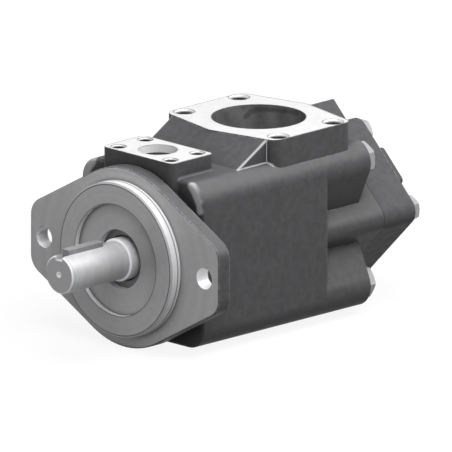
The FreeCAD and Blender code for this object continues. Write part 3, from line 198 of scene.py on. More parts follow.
class PumpStage(bpy.types.PropertyGroup):
    """Camera, light and floor"""

    view_width: length("View Width", "Width of the camera's parallel view", 0.36146)
    camera_distance: length("Camera Distance", "From the camera to the flange's face", 2.0)
    floor_size: length("Floor Size", "Side of the square floor", 8.0)
    sky: bpy.props.FloatProperty(
        name="Sky", description="Strength of the light from all sides", min=0, default=0.03
    )
    top_power: power("Top Light", "Power of the large light overhead", 15.0)
    side_power: power("Side Light", "Power of the light on the right", 10.5)
    rear_power: power("Rear Light", "Power of the light behind", 19.0)
    front_power: power("Front Light", "Power of the light ahead", 2.7)


# Helpers


def tinted(base, share):
    """A colour times a share, no channel past white."""
    return [min(1.0, channel * share) for channel in base]


def placed(name, data):
    """A new object in the scene."""
    thing = bpy.data.objects.new(name, data)
    bpy.context.scene.collection.objects.link(thing)
    return thing


def aim(thing, direction):
    """Turns a lamp or the camera to look along a direction."""
    thing.rotation_mode = "QUATERNION"
    thing.rotation_quaternion = direction.to_track_quat("-Z", "Y")


def shade_smooth(mesh, sharp):
    """Smooth shading, but for edges that turn by more than some degrees."""
    mesh.polygons.foreach_set("use_smooth", [True] * len(mesh.polygons))
    mesh.set_sharp_from_angle(angle=math.radians(sharp))


def use(material, *names):
    for name in names:
        slots = NODES[name].data.materials
        slots.clear()
        slots.append(material)


# Node trees


def emptied(owner):
    """The node tree of a new material or world, without the nodes it starts with."""
    owner.use_nodes = True
    owner.node_tree.nodes.clear()
    return owner.node_tree


def add_sockets(tree, side, kind, names):
    """Adds named inputs or outputs of one kind to a group."""
    for name in names.split():
        tree.interface.new_socket(name=name, in_out=side, socket_type="NodeSocket" + kind)


class Tree:
    """Adds nodes to a tree and joins them by plain calls."""

    def __init__(self, tree):
        self.tree = tree

    def add(self, kind, **settings):
        node = self.tree.nodes.new(kind)
        for name, value in settings.items():
            setattr(node, name, value)
        return node

    def feed(self, socket, value):
        if isinstance(value, bpy.types.NodeSocket):
            self.tree.links.new(value, socket)
        elif value is not None:
            socket.default_value = value

    def fill(self, node, values):
        """Feeds a node's inputs in their order."""
        for socket, value in zip(node.inputs, values):
            self.feed(socket, value)
        return node

    def fill_named(self, node, values):
        """Feeds a node's inputs by name, such as start_radius for Start Radius."""
        for name, value in values.items():
            self.feed(node.inputs[name.replace("_", " ").title()], value)
        return node

    def math(self, operation, *values):
        return self.fill(self.add("ShaderNodeMath", operation=operation), values).outputs[0]

    def times(self, value, share):
        return self.math("MULTIPLY", value, share)


class Shades(Tree):
    """A shader tree. Its masks are 1 where something holds and 0 elsewhere."""

    def vector(self, operation, *values):
        node = self.fill(self.add("ShaderNodeVectorMath", operation=operation), values)
        scalar = operation in ("DOT_PRODUCT", "LENGTH", "DISTANCE")
        return node.outputs["Value" if scalar else "Vector"]

    def split(self, vector):
        return self.fill(self.add("ShaderNodeSeparateXYZ"), (vector,)).outputs

    def join(self, *values):
        return self.fill(self.add("ShaderNodeCombineXYZ"), values).outputs[0]

    def radius(self, x, z):
        """How far a place lies from the shaft's axis."""
        return self.vector("LENGTH", self.join(x, 0.0, z))

    def abs(self, value):
        return self.math("ABSOLUTE", value)

    def away(self, value, level):
        return self.abs(self.math("SUBTRACT", value, level))

    def over(self, value, level):
        return self.math("GREATER_THAN", value, level)

    def under(self, value, level):
        return self.math("LESS_THAN", value, level)

    def band(self, value, low, high):
        return self.all_of(self.over(value, low), self.under(value, high))

    def all_of(self, *masks):
        result = masks[0]
        for mask in masks[1:]:
            result = self.math("MULTIPLY", result, mask)
        return result

    def any_of(self, *masks):
        result = masks[0]
        for mask in masks[1:]:
            result = self.math("MAXIMUM", result, mask)
        return result

    def step(self, value, low, high):
        """0 below low and 1 above high, or the other way round where low is the larger."""
        node = self.add("ShaderNodeMapRange", interpolation_type="SMOOTHSTEP")
        return self.fill(node, (value, low, high, 0.0, 1.0)).outputs[0]

    def noise(self, place, scale, detail=2.0, dimensions="3D"):
        node = self.add("ShaderNodeTexNoise", noise_dimensions=dimensions)
        self.feed(node.inputs["W" if dimensions == "1D" else "Vector"], place)
        return self.fill_named(node, {"scale": scale, "detail": detail}).outputs["Fac"]

    def blend(self, share, low, high):
        """A colour between two."""
        node = self.add("ShaderNodeMix", data_type="RGBA")
        self.feed(node.inputs[0], share)
        for socket, value in ((node.inputs[6], low), (node.inputs[7], high)):
            if not isinstance(value, bpy.types.NodeSocket):
                value = (*value, 1.0)
            self.feed(socket, value)
        return node.outputs[2]

    def between(self, share, low, high):
        """A number between two."""
        node = self.add("ShaderNodeMix", data_type="FLOAT")
        return self.fill(node, (share, None, low, high)).outputs[0]

    def bump(self, height, distance, strength):
        values = {"height": height, "distance": distance, "strength": strength}
        return self.fill_named(self.add("ShaderNodeBump"), values).outputs[0]

    def group(self, name, **values):
        node = self.add("ShaderNodeGroup", node_tree=bpy.data.node_groups[name])
        return self.fill_named(node, values).outputs

    def strips(self, place, lines):
        """Near any of some lines, each with a start, an end and a width."""
        masks = [
            self.group("edge strip", place=place, start=start, end=end, width=width)["Mask"]
            for start, end, width in lines
        ]
        return self.any_of(*masks)


# Shader groups


def shader_group(name, vectors, values, outputs):
    """An empty shader group with its sockets. Returns its tree, inputs and outputs."""
    shades = Shades(bpy.data.node_groups.new(name, "ShaderNodeTree"))
    add_sockets(shades.tree, "INPUT", "Vector", vectors)
    add_sockets(shades.tree, "INPUT", "Float", values)
    add_sockets(shades.tree, "OUTPUT", "Float", outputs)
    return shades, shades.add("NodeGroupInput").outputs, shades.add("NodeGroupOutput").inputs


def make_flat_zone():
    """Where a face looks along an axis and lies past a level on it."""
    shades, given, out = shader_group("flat zone", "Place Facing Axis", "Level", "Mask")
    height = shades.vector("DOT_PRODUCT", given["Place"], given["Axis"])
    past = shades.over(height, given["Level"])
    along = shades.vector("DOT_PRODUCT", given["Facing"], given["Axis"])
    shades.feed(out["Mask"], shades.all_of(past, shades.over(along, 0.9)))


def make_bore_zone():
    """Inside a radius round a line through a point."""
    shades, given, out = shader_group("bore zone", "Place Centre Axis", "Radius", "Mask")
    arm = shades.vector("SUBTRACT", given["Place"], given["Centre"])
    across = shades.vector("LENGTH", shades.vector("CROSS_PRODUCT", arm, given["Axis"]))
    shades.feed(out["Mask"], shades.under(across, given["Radius"]))


def make_edge_strip():
    """Near a straight line between two points: full at the line and none past the width."""
    shades, given, out = shader_group("edge strip", "Place Start End", "Width", "Mask")
    arm = shades.vector("SUBTRACT", given["Place"], given["Start"])
    line = shades.vector("SUBTRACT", given["End"], given["Start"])
    reach = shades.vector("DOT_PRODUCT", arm, line)
    share = shades.math("DIVIDE", reach, shades.vector("DOT_PRODUCT", line, line))
    share = shades.math("MINIMUM", shades.math("MAXIMUM", share, 0.0), 1.0)
    foot = shades.vector("MULTIPLY", line, shades.join(share, share, share))
    away = shades.math("DIVIDE", shades.vector("DISTANCE", arm, foot), given["Width"])
    shades.feed(out["Mask"], shades.step(away, 1.0, 0.35))


def make_cast_skin():
    """Orange peel of paint over a sand cast wall: fine grains on slow hills, and a tone."""
    shades, given, out = shader_group("cast skin", "Place", "Grain", "Height Tone")
    place, grain = given["Place"], given["Grain"]
    fine = shades.noise(place, shades.math("DIVIDE", 1.0, grain), 3.0)
    slow = shades.noise(place, shades.math("DIVIDE", 0.09, grain), 2.0)
    shades.feed(out["Height"], shades.math("ADD", fine, shades.times(slow, 2.2)))
    mottle = shades.noise(place, shades.math("DIVIDE", 0.2, grain), 4.0)
    shades.feed(out["Tone"], shades.step(mottle, 0.3, 0.7))


def make_tool_marks():
    """Rings left by a turning tool: fine lines that follow the radius and the length."""
    shades, given, out = shader_group("tool marks", "Place", "Spacing", "Height Tone")
    x, y, z = shades.split(given["Place"])
    count = shades.math("DIVIDE", shades.math("ADD", shades.radius(x, z), y), given["Spacing"])
    shades.feed(out["Height"], shades.noise(count, 1.0, 2.0, "1D"))
    broad = shades.noise(shades.times(count, 0.07), 1.0, 3.0, "1D")
    spots = shades.noise(given["Place"], 160.0, 3.0)
    shades.feed(out["Tone"], shades.step(shades.math("ADD", broad, spots), 0.75, 1.25))


def make_milling_marks():
    """Curved lines of a face mill that crosses a pad, with a slow change of tone."""
    shades, given, out = shader_group("milling marks", "Place Centre", "Spacing", "Height Tone")
    reach = shades.vector("DISTANCE", given["Place"], given["Centre"])
    count = shades.math("DIVIDE", reach, given["Spacing"])
    shades.feed(out["Height"], shades.noise(count, 1.0, 1.0, "1D"))
    shades.feed(out["Tone"], shades.step(shades.noise(given["Place"], 90.0, 3.0), 0.3, 0.7))


def make_edge_lines():
    """A line along sharp edges, whole and also broken by noise: lighter for handling wear with
    painted highlight, and grey for a milled face's border.
    """
    shades, given, out = shader_group("edge rub", "Place", "Width", "Mask Line")
    bevel = shades.add("ShaderNodeBevel", samples=6)
    shades.feed(bevel.inputs["Radius"], given["Width"])
    plain = shades.add("ShaderNodeNewGeometry").outputs["Normal"]
    line = shades.step(shades.vector("DOT_PRODUCT", bevel.outputs[0], plain), 0.985, 0.88)
    shades.feed(out["Line"], line)
    broken = shades.step(shades.noise(given["Place"], 240.0, 4.0), 0.36, 0.62)
    shades.feed(out["Mask"], shades.all_of(line, broken))


def make_crevice():
    """How open a place is, from 0 deep in a valley to 1 in the open, for painting shade into
    valleys and corners.
    """
    shades, given, out = shader_group("crevice", "", "Reach", "Openness")
    hollow = shades.add("ShaderNodeAmbientOcclusion", samples=8)
    shades.feed(hollow.inputs["Distance"], given["Reach"])
    shades.feed(out["Openness"], shades.step(hollow.outputs["AO"], 0.35, 0.95))


def make_shader_groups():
    make_crevice()
    make_flat_zone()
    make_bore_zone()
    make_edge_strip()
    make_cast_skin()
    make_tool_marks()
    make_milling_marks()
    make_edge_lines()


class Surface(Shades):
    """The tree of a new material with a Principled shader."""

    def __init__(self, name):
        self.material = bpy.data.materials.new(name)
        super().__init__(emptied(self.material))
        self.finish = bpy.context.scene.pump_finish
        shader = self.add("ShaderNodeBsdfPrincipled")
        end = self.add("ShaderNodeOutputMaterial")
        self.feed(end.inputs["Surface"], shader.outputs[0])
        self.shader = shader.inputs
        spots = self.add("ShaderNodeTexCoord").outputs
        self.place, self.facing = spots["Object"], spots["Normal"]

    def tool_marks(self, spacing):
        return self.group("tool marks", place=self.place, spacing=spacing)

    def dress(self, colour, metallic, roughness, normal):
        """Feeds the shader. Returns the material."""
        self.feed(self.shader["Base Color"], colour)
        self.feed(self.shader["Metallic"], metallic)
        self.feed(self.shader["Roughness"], roughness)
        self.feed(self.shader["Normal"], normal)
        return self.material


# Castings


class Casting(Surface):
    """Painted cast iron whose machined places are bare, some turned and some milled."""

    # Each casting has its own name, node, middle of the face mill's arcs and machined zones.
    # Lines of painted highlight, and of paint lap with painted shade, have a start, an end and a
    # width, and are mirrored across X.
    name = node = mill_centre = None
    highlight_lines = lap_and_shade_lines = ()

    def __init__(self):
        super().__init__(self.name)
        self.x, self.y, self.z = self.split(self.place)
        self.look_x, self.look_y, self.look_z = self.split(self.facing)
        self.reach = self.radius(self.x, self.z)
        self.mirrored = self.join(self.abs(self.x), self.y, self.z)
        bare = self.any_of(*self.bare_zones())
        milled = self.any_of(*self.milled_zones())
        metal = self.any_of(bare, milled)
        self.skin = self.group("cast skin", place=self.place, grain=self.finish.paint_grain)
        self.turning = self.tool_marks(0.00045)
        self.milling = self.group(
            "milling marks", place=self.place, centre=self.mill_centre, spacing=0.0009
        )
        colour = self.blend(bare, self.paint(), self.iron())
        colour = self.blend(milled, colour, self.pad())
        satin = self.between(self.skin["Tone"], 0.48, 0.58)
        rough = self.between(metal, satin, 0.36)
        # Orange peel under the paint and tool marks on the bare iron
        cut = self.between(milled, self.turning["Height"], self.milling["Height"])
        peel = self.bump(self.skin["Height"], 0.00012, 0.55)
        scratches = self.bump(cut, 0.00003, 0.5)
        normal = self.add("ShaderNodeMix", data_type="VECTOR")
        for socket, value in ((0, metal), (4, peel), (5, scratches)):
            self.feed(normal.inputs[socket], value)
        self.shader["Specular IOR Level"].default_value = 0.1
        use(self.dress(colour, self.times(metal, 0.2), rough, normal.outputs[1]), self.node)

    def flat(self, axis, level):
        """On a flat face that looks along an axis, at a level."""
        return self.group(
            "flat zone", place=self.place, facing=self.facing, axis=axis, level=level - FACE_SKIN
        )["Mask"]

    def bore(self, place, centre, axis, radius):
        """Within a radius of an axis through a centre."""
        return self.group("bore zone", place=place, centre=centre, axis=axis, radius=radius)["Mask"]

    def screw_holes(self, place, centre, holes, radius):
        """Within a radius of any of the four screw holes that lie evenly round a centre."""
        x, y, z = self.split(self.vector("SUBTRACT", place, centre))
        quarter = self.join(self.abs(x), self.abs(y), z)
        return self.bore(quarter, (*holes, 0.0), UPWARD, radius)

    def ringed(self, colour, centre, holes, radius):
        """A pad's colour with a thin grey ring round each screw hole."""
        outer = self.screw_holes(self.place, centre, holes, radius + 0.0005)
        inner = self.screw_holes(self.place, centre, holes, radius - 0.0004)
        ring = self.all_of(outer, self.math("SUBTRACT", 1.0, inner))
        return self.blend(ring, colour, EDGE_LINE_GREY)

    def painted_light_by_facing(self, colour):
        """Paint lighter on the rounds that look up and outwards: painted light."""
        rounds = self.all_of(
            self.step(self.look_z, 0.15, 0.6), self.step(self.abs(self.look_x), 0.1, 0.4)
        )
        return self.blend(self.times(rounds, 0.25), colour, PAINTED_TOP_LIGHT_GREY)

    def paint(self):
        """Mottled paint with painted shade in the valleys, lighter on sharp edges for wear and
        painted highlight, and with painted highlights along given lines.
        """
        paint = self.finish.paint
        colour = self.blend(self.skin["Tone"], tinted(paint, 0.89), tinted(paint, 1.1))
        # Painted light and shade by which way the paint faces
        colour = self.painted_light_by_facing(colour)
        # Painted shade: darker paint in the valleys, from the ambient occlusion node
        openness = self.group("crevice", reach=0.022)["Openness"]
        colour = self.blend(openness, tinted(paint, 0.5), colour)
        rub_and_highlight = self.group("edge rub", place=self.place, width=self.finish.edge_width)["Mask"]
        # The castings' joints are painted over, so no edge there gets the light line of wear and
        # painted highlight
        for joint in (CAP_JOINT, END_JOINT):
            rub_and_highlight = self.all_of(rub_and_highlight, self.step(self.away(self.y, joint), 0.001, 0.003))
        # Sharp edges lighter: handling wear and painted highlight
        colour = self.blend(self.times(rub_and_highlight, 0.8), colour, WORN_AND_HIGHLIGHT_GREY)
        # Painted highlights along given rounded edges
        if self.highlight_lines:
            highlight = self.strips(self.mirrored, self.highlight_lines)
            colour = self.blend(self.times(highlight, 0.9), colour, PAINTED_HIGHLIGHT_GREY)
        # The joint between the housing and the end cap shows as a thin dark line
        joint = self.step(self.away(self.y, END_JOINT), 0.0007, 0.0003)
        return self.blend(self.times(joint, 0.7), colour, tinted(paint, 0.35))

    def iron(self):
        """Turned iron with painted shade in its corners and painted highlight on its side walls."""
        iron = self.finish.machined
        colour = self.blend(self.turning["Tone"], tinted(iron, 0.96), tinted(iron, 1.04))
        # Painted shade: darker in the corners, from the ambient occlusion node
        corner = self.group("crevice", reach=0.005)["Openness"]
        colour = self.blend(corner, tinted(iron, 0.3), colour)
        # Painted highlight: side walls, which face across the shaft, are lighter
        wall = self.step(self.abs(self.look_y), 0.75, 0.35)
        return self.blend(wall, colour, tinted(iron, 2.2))

    def pad(self):
        """Milled iron with a grey border along its edges: paint lap, with painted shade of the
        edge.
        """
        pad = self.finish.milled
        colour = self.blend(self.milling["Tone"], tinted(pad, 0.97), tinted(pad, 1.03))
        lap = self.group("edge rub", place=self.place, width=self.finish.lap_and_shade_width)["Line"]
        lap = self.times(lap, 0.5)
        if self.lap_and_shade_lines:
            lap = self.any_of(lap, self.strips(self.mirrored, self.lap_and_shade_lines))
        return self.blend(lap, colour, EDGE_LINE_GREY)


class CapCasting(Casting):
    """The mounting cap: turned flange, pilot and bores, and the front port's milled pad."""

    name = "cap casting"
    node = "mounting_cap"
    mill_centre = (0.1, 0.05, PORT1[2])
    # Painted highlights: on the port pad's foot, then on the round at the front of the box's upper
    # corner
    highlight_lines = (
        ((0.0393, 0.0215, 0.0678), (0.0393, 0.061, 0.0678), 0.0013),
        ((0.034, 0.0203, 0.0665), (0.0393, 0.0215, 0.0672), 0.0022),
        ((0.0555, 0.021, 0.066), (0.0595, 0.021, 0.0615), 0.0052),
        ((0.0595, 0.021, 0.0615), (0.0635, 0.021, 0.0545), 0.0052),
        ((0.0635, 0.021, 0.0545), (0.065, 0.021, 0.047), 0.0042),
    )
    # Paint lap with painted shade along the pad's side and rear edges
    lap_and_shade_lines = (
        ((0.04, 0.0143, PORT1[2]), (0.04, 0.0619, PORT1[2]), 0.0012),
        ((0.04, 0.0619, PORT1[2]), (0.0, 0.0619, PORT1[2]), 0.0016),
    )

    def bare_zones(self):
        flange_holes = self.bore(self.mirrored, (FLANGE_HOLE_X, 0.0, 0.0), REARWARD, 0.0091)
        return flange_holes, self.under(self.y, 0.0002), self.under(self.reach, 0.0505)

    def milled_zones(self):
        holes = self.screw_holes(self.place, PORT1, PORT1_HOLES, 0.0064)
        mouths = self.all_of(holes, self.over(self.z, PORT1[2] - 0.0016))
        return self.flat(UPWARD, PORT1[2]), mouths, self.port_mouth()

    def port_mouth(self):
        """The bored wall at the top of the front port."""
        wall = self.bore(self.place, PORT1, UPWARD, 0.0161)
        return self.all_of(wall, self.band(self.z, PORT1[2] - 0.0065, PORT1[2] - FACE_SKIN))

    def paint(self):
        """Paint lighter along the round of the flange's front edge, broken by noise: handling wear
        and painted highlight.
        """
        broken = self.step(self.noise(self.place, 420.0, 3.0), 0.3, 0.75)
        rim = self.all_of(self.band(self.y, 0.0001, 0.0019), broken)
        return self.blend(self.times(rim, 0.55), super().paint(), WORN_AND_HIGHLIGHT_GREY)

    def iron(self):
        """Painted shade outlines the pilot: inside its chamfer, round its recess and at its root.
        """
        front = self.under(self.y, PILOT_FRONT + 0.0001)
        rim = self.over(self.reach, PILOT_RADIUS - 0.0023)
        recess = self.band(self.reach, RECESS_RADIUS - 0.0002, RECESS_RADIUS + 0.0006)
        wall = self.over(self.reach, PILOT_RADIUS - FACE_SKIN)
        outline_shade = self.any_of(
            self.all_of(front, rim),
            self.all_of(front, recess),
            self.all_of(wall, self.band(self.y, -0.0034, -0.0022)),
        )
        return self.blend(self.times(outline_shade, 0.7), super().iron(), PAINTED_OUTLINE_SHADE)

    def pad(self):
        """The pad's screw holes are ringed, and the port's mouth is bright bored iron, made lighter
        still as painted light.
        """
        colour = self.ringed(super().pad(), PORT1, PORT1_HOLES, 0.00625)
        return self.blend(self.port_mouth(), colour, BORED_AND_LIT_GREY)


class BodyCasting(Casting):
    """The housing: stepped bore, long bolts' seats, and the suction port's milled pad."""

    name = "body casting"
    node = "housing"
    mill_centre = (0.16, 0.2, SUCTION[2])
    # Painted highlights: on the ramp's upper edge, its end, its foot, and the pad's foot behind it
    ramp_start = (RAMP_HALF, RAMP_FOOT[0] + 0.002, BOX_TOP)
    ramp_end = (RAMP_HALF, RAMP_TOP[0], BOX_TOP)
    highlight_lines = (
        (ramp_start, (RAMP_HALF, *RAMP_TOP), 0.0019),
        (ramp_end, (RAMP_HALF, *RAMP_TOP), 0.0008),
        (ramp_start, ramp_end, 0.0011),
        (ramp_end, (PAD_HALF + 0.0005, 0.1095, 0.0665), 0.0015),
    )
    # Paint lap with painted shade along the pad's side and rear edges
    lap_and_shade_lines = (
        ((PAD_HALF, 0.1093, SUCTION[2]), (PAD_HALF, 0.1947, SUCTION[2]), 0.0012),
        ((PAD_HALF, 0.1947, SUCTION[2]), (0.0, 0.208, SUCTION[2]), 0.0017),
    )
    # Painted shade along the upper edge of the cast chamber, seen in the suction bore
    chamber_arch_shade = (
        (-0.0331, 0.1708, 0.0782),
        (-0.0311, 0.1740, 0.0822),
        (-0.0284, 0.1774, 0.0832),
        (-0.0103, 0.1887, 0.0840),
        (0.0057, 0.1897, 0.0849),
    )

    def bare_zones(self):
        chamber = self.under(self.reach, 0.0422)
        front_bore = self.all_of(self.under(self.reach, 0.0575), self.under(self.y, 0.125))
        quarter = self.join(self.abs(self.x), self.y, self.abs(self.z))
        centre = (LONG_BOLT_PLACE, 0.0, LONG_BOLT_PLACE)
        near = self.bore(quarter, centre, REARWARD, 0.0155)
        return chamber, front_bore, self.all_of(near, self.flat(REARWARD, LONG_BOLT_SEAT))

    def milled_zones(self):
        holes = self.screw_holes(self.place, SUCTION, SUCTION_HOLES, 0.0084)
        mouths = self.all_of(holes, self.over(self.z, SUCTION[2] - 0.0022))
        return self.flat(UPWARD, SUCTION[2]), mouths

    def paint(self):
        """No paint reaches into the suction bore, whose cast wall is rough and patchy, with a dark
        arch of painted shade.
        """
        patches = self.step(self.noise(self.place, 75.0, 4.0), 0.25, 0.75)
        rough = self.blend(patches, (0.085, 0.085, 0.087), (0.155, 0.155, 0.158))
        arch = [(a, b, 0.0032) for a, b in zip(self.chamber_arch_shade, self.chamber_arch_shade[1:])]
        # Painted shade: a dark arch under the chamber's edge
        dark = self.times(self.strips(self.place, arch), 0.5)
        rough = self.blend(dark, rough, (0.03, 0.03, 0.03))
        inside = self.bore(self.place, SUCTION, UPWARD, 0.0386)
        bore = self.all_of(inside, self.band(self.z, 0.03, SUCTION[2] - FACE_SKIN))
        return self.blend(bore, super().paint(), rough)

    def pad(self):
        return self.ringed(super().pad(), SUCTION, SUCTION_HOLES, 0.0086)


class EndCasting(Casting):
    """The end cap: rear bore, end bolts' seats, and the rear port's tilted pad."""

    name = "end casting"
    node = "end_cap"
    mill_centre = (0.0, 0.33, 0.1)

    def bare_zones(self):
        bore = self.all_of(self.under(self.reach, 0.0385), self.under(self.y, 0.2665))
        seats = self.all_of(
            self.flat(REARWARD, END_BOLT_SEAT),
            self.under(self.y, END_BOLT_SEAT + FACE_SKIN),
            self.over(self.reach, 0.04),
        )
        return bore, seats

    def milled_zones(self):
        along = self.times(self.math("ADD", self.x, self.z), ROOT_HALF)
        level = self.join(along, self.y, 0.0)
        centre = (0.0, PORT2_Y, 0.0)
        holes = self.screw_holes(level, centre, PORT2_HOLES, 0.0052)
        bore = self.bore(level, centre, UPWARD, 0.0129)
        height = self.vector("DOT_PRODUCT", self.place, PORT2_OUTWARD)
        mouths = self.all_of(self.any_of(holes, bore), self.over(height, PORT2_HEIGHT - 0.02))
        return self.flat(PORT2_OUTWARD, PORT2_HEIGHT), mouths

    def painted_light_by_facing(self, colour):
        """Paint darker on its underside: painted shade."""
        under = self.step(self.look_z, -0.2, -0.6)
        return self.blend(under, colour, tinted(self.finish.paint, 0.45))


# Metal, rubber and bronze


def plain_material(name, base, metal, rough, marks=0.0004, depth=0.00002, rub_and_highlight=0.0):
    """A machined or moulded finish: tool marks, a change of tone and lighter edges of wear and
    painted highlight.
    """
    made = Surface(name)
    lines = made.tool_marks(marks)
    colour = made.blend(lines["Tone"], tinted(base, 0.94), tinted(base, 1.05))
    # Lighter edges: handling wear and painted highlight
    if rub_and_highlight:
        edges = made.group("edge rub", place=made.place, width=made.finish.edge_width * 0.6)
        light = [min(1.0, channel * 1.4 + 0.06) for channel in base]
        colour = made.blend(made.times(edges["Mask"], rub_and_highlight), colour, light)
    rough = made.between(lines["Tone"], rough * 0.88, rough * 1.12)
    return made.dress(colour, metal, rough, made.bump(lines["Height"], depth, 0.6))


def shaft_material(name):
    """Ground steel, its turned end a little dull, with painted light: bright rings, a bright centre
    hole and a lighter collar.
    """
    made = Surface(name)
    steel = made.finish.steel
    lines = made.tool_marks(0.00035)
    colour = made.blend(lines["Tone"], tinted(steel, 0.95), tinted(steel, 1.05))
    x, y, z = made.split(made.place)
    radius = made.radius(x, z)
    ahead = made.over(made.times(made.split(made.facing)[1], -1.0), 0.9)
    end = made.all_of(ahead, made.under(y, SHAFT_END + 0.0005))
    colour = made.blend(end, colour, tinted(steel, 0.8))
    # The collar is lighter: painted light where it lies in the shade of the flange's hole
    colour = made.blend(made.over(radius, 0.0172), colour, tinted(steel, 1.45))
    # Painted highlights, along the shaft and out from its axis: the end's chamfer, the shoulder and
    # the centre hole
    for along, out in (
        ((SHAFT_END - 0.001, SHAFT_END + 0.0013), (0.0146, 0.0166)),
        ((SHAFT_SHOULDER - 0.0001, SHAFT_SHOULDER + 0.001), (0.01592, 0.0178)),
        ((SHAFT_END - 0.001, SHAFT_END + 0.006), (0.0, 0.0027)),
    ):
        ring = made.all_of(made.band(y, *along), made.band(radius, *out))
        colour = made.blend(ring, colour, (0.93, 0.93, 0.94))
    rough = made.between(lines["Tone"], 0.42, 0.52)
    return made.dress(colour, 0.15, rough, made.bump(lines["Height"], 0.000006, 0.6))


def seal_material(name):
    """A moulded lip, black near the shaft, in a grey steel case."""
    made = Surface(name)
    lines = made.tool_marks(0.0012)
    x, y, z = made.split(made.place)
    case = made.step(made.radius(x, z), 0.0188, 0.0192)
    rubber = made.blend(lines["Tone"], (0.025, 0.025, 0.027), (0.035, 0.035, 0.037))
    steel = made.blend(lines["Tone"], (0.08, 0.08, 0.082), (0.11, 0.11, 0.112))
    rough = made.between(case, 0.55, 0.4)
    normal = made.bump(lines["Height"], 0.00002, 0.5)
    return made.dress(made.blend(case, rubber, steel), made.times(case, 0.3), rough, normal)


# Repeated hardware


class Shapes(Tree):
    """A geometry tree. Its inputs are given as names under their kind."""

    def __init__(self, name, **inputs):
        super().__init__(bpy.data.node_groups.new(name, "GeometryNodeTree"))
        add_sockets(self.tree, "OUTPUT", "Geometry", "Geometry")
        for kind, names in inputs.items():
            add_sockets(self.tree, "INPUT", kind, names)
        self.given = self.add("NodeGroupInput").outputs
        self.end = self.add("NodeGroupOutput").inputs

    def make(self, kind, **values):
        """A node with its inputs filled by name. Returns its first output."""
        return self.fill_named(self.add(kind), values).outputs[0]

    def point(self, **values):
        return self.make("ShaderNodeCombineXYZ", **values)

    def moved(self, geometry, translation=None, rotation=None):
        return self.make(
            "GeometryNodeTransform", geometry=geometry, translation=translation, rotation=rotation
        )

    def cylinder(self, vertices, radius, depth):
        return self.make("GeometryNodeMeshCylinder", vertices=vertices, radius=radius, depth=depth)

    def raised(self, geometry, height):
        return self.moved(geometry, self.point(z=height))

    def finish(self, geometry, material):
        whole = self.make("GeometryNodeRealizeInstances", geometry=geometry)
        dressed = self.make("GeometryNodeSetMaterial", geometry=whole, material=material)
        self.tree.links.new(dressed, self.end["Geometry"])


def grown(name, shapes, values, body, replaced=(), sharp=30):
    """The mesh that a geometry tree gives for its named inputs, riding on a body."""
    seed = placed(name + "_seed", bpy.data.meshes.new(name + "_seed"))
    modifier = seed.modifiers.new(name, "NODES")
    modifier.node_group = shapes.tree
    for item in shapes.tree.interface.items_tree:
        if item.item_type == "SOCKET" and item.in_out == "INPUT" and item.name in values:
            modifier[item.identifier] = values[item.name]
    graph = bpy.context.evaluated_depsgraph_get()
    mesh = bpy.data.meshes.new_from_object(seed.evaluated_get(graph), depsgraph=graph)
    if not mesh.polygons:
        raise RuntimeError(name + " came out empty")
    seed.modifiers.clear()
    bpy.data.objects.remove(seed)
    mesh.name = name
    shade_smooth(mesh, sharp)
    piece = placed(name, mesh)
    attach(piece, body)
    if replaced:
        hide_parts(*replaced)
    return piece


def bolt_tree(material):
    """Hexagon bolts round the Y axis: chamfered head on a washer face, and shank."""
    shapes = Shapes("hexagon bolts", Float="Flats Head Shank Reach Across Seat Up", Int="Count")
    given = shapes.given
    face = shapes.times(given["Head"], 0.06)
    rise = shapes.math("SUBTRACT", given["Head"], face)
    corner = shapes.math("DIVIDE", given["Flats"], math.sqrt(3))
    prism = shapes.moved(shapes.cylinder(6, corner, rise), rotation=(0.0, 0.0, math.radians(30)))
    # A cone cuts the prism's corners to the head's chamfer
    crown = shapes.times(given["Flats"], 0.475)
    wide = shapes.math("ADD", crown, shapes.times(rise, 1.9))
    cone = shapes.make(
        "GeometryNodeMeshCone", vertices=72, radius_top=crown, radius_bottom=wide, depth=rise
    )
    # The prism stands on its middle and the cone on its foot
    cone = shapes.raised(cone, shapes.times(rise, -0.5))
    head = shapes.add("GeometryNodeMeshBoolean", operation="INTERSECT", solver="EXACT")
    shapes.tree.links.new(prism, head.inputs["Mesh 2"])
    shapes.tree.links.new(cone, head.inputs["Mesh 2"])
    lift = shapes.math("ADD", face, shapes.times(rise, 0.5))
    head = shapes.raised(head.outputs["Mesh"], lift)
    washer = shapes.raised(shapes.cylinder(48, crown, shapes.times(face, 2.0)), face)
    shank = shapes.cylinder(40, given["Shank"], given["Reach"])
    shank = shapes.raised(shank, shapes.times(given["Reach"], -0.5))
    bolt = shapes.add("GeometryNodeJoinGeometry")
    for part in (head, washer, shank):
        shapes.tree.links.new(part, bolt.inputs[0])
    bolt = shapes.moved(bolt.outputs[0], rotation=(-math.pi / 2, 0.0, 0.0))
    bolt = shapes.moved(bolt, shapes.point(x=given["Across"], y=given["Seat"], z=given["Up"]))
    places = shapes.make("GeometryNodePoints", count=given["Count"])
    index = shapes.add("GeometryNodeInputIndex").outputs[0]
    turn = shapes.times(index, shapes.math("DIVIDE", 2 * math.pi, given["Count"]))
    spin = shapes.make("FunctionNodeEulerToRotation", euler=shapes.point(y=turn))
    ring = shapes.make("GeometryNodeInstanceOnPoints", points=places, instance=bolt, rotation=spin)
    shapes.finish(ring, material)
    return shapes


def clamping_bolts(name, replaced, **sizes):
    """Four hexagon bolts, with the sizes that their geometry tree takes."""
    zinc = bpy.data.materials.get("zinc plate") or plain_material(
        "zinc plate", bpy.context.scene.pump_finish.zinc, 0.15, 0.42, 0.0006, 0.00001, 0.6
    )
    values = {size.title(): value for size, value in sizes.items()}
    values["Count"] = 4
    return grown(name, bolt_tree(zinc), values, "casing", (replaced,))


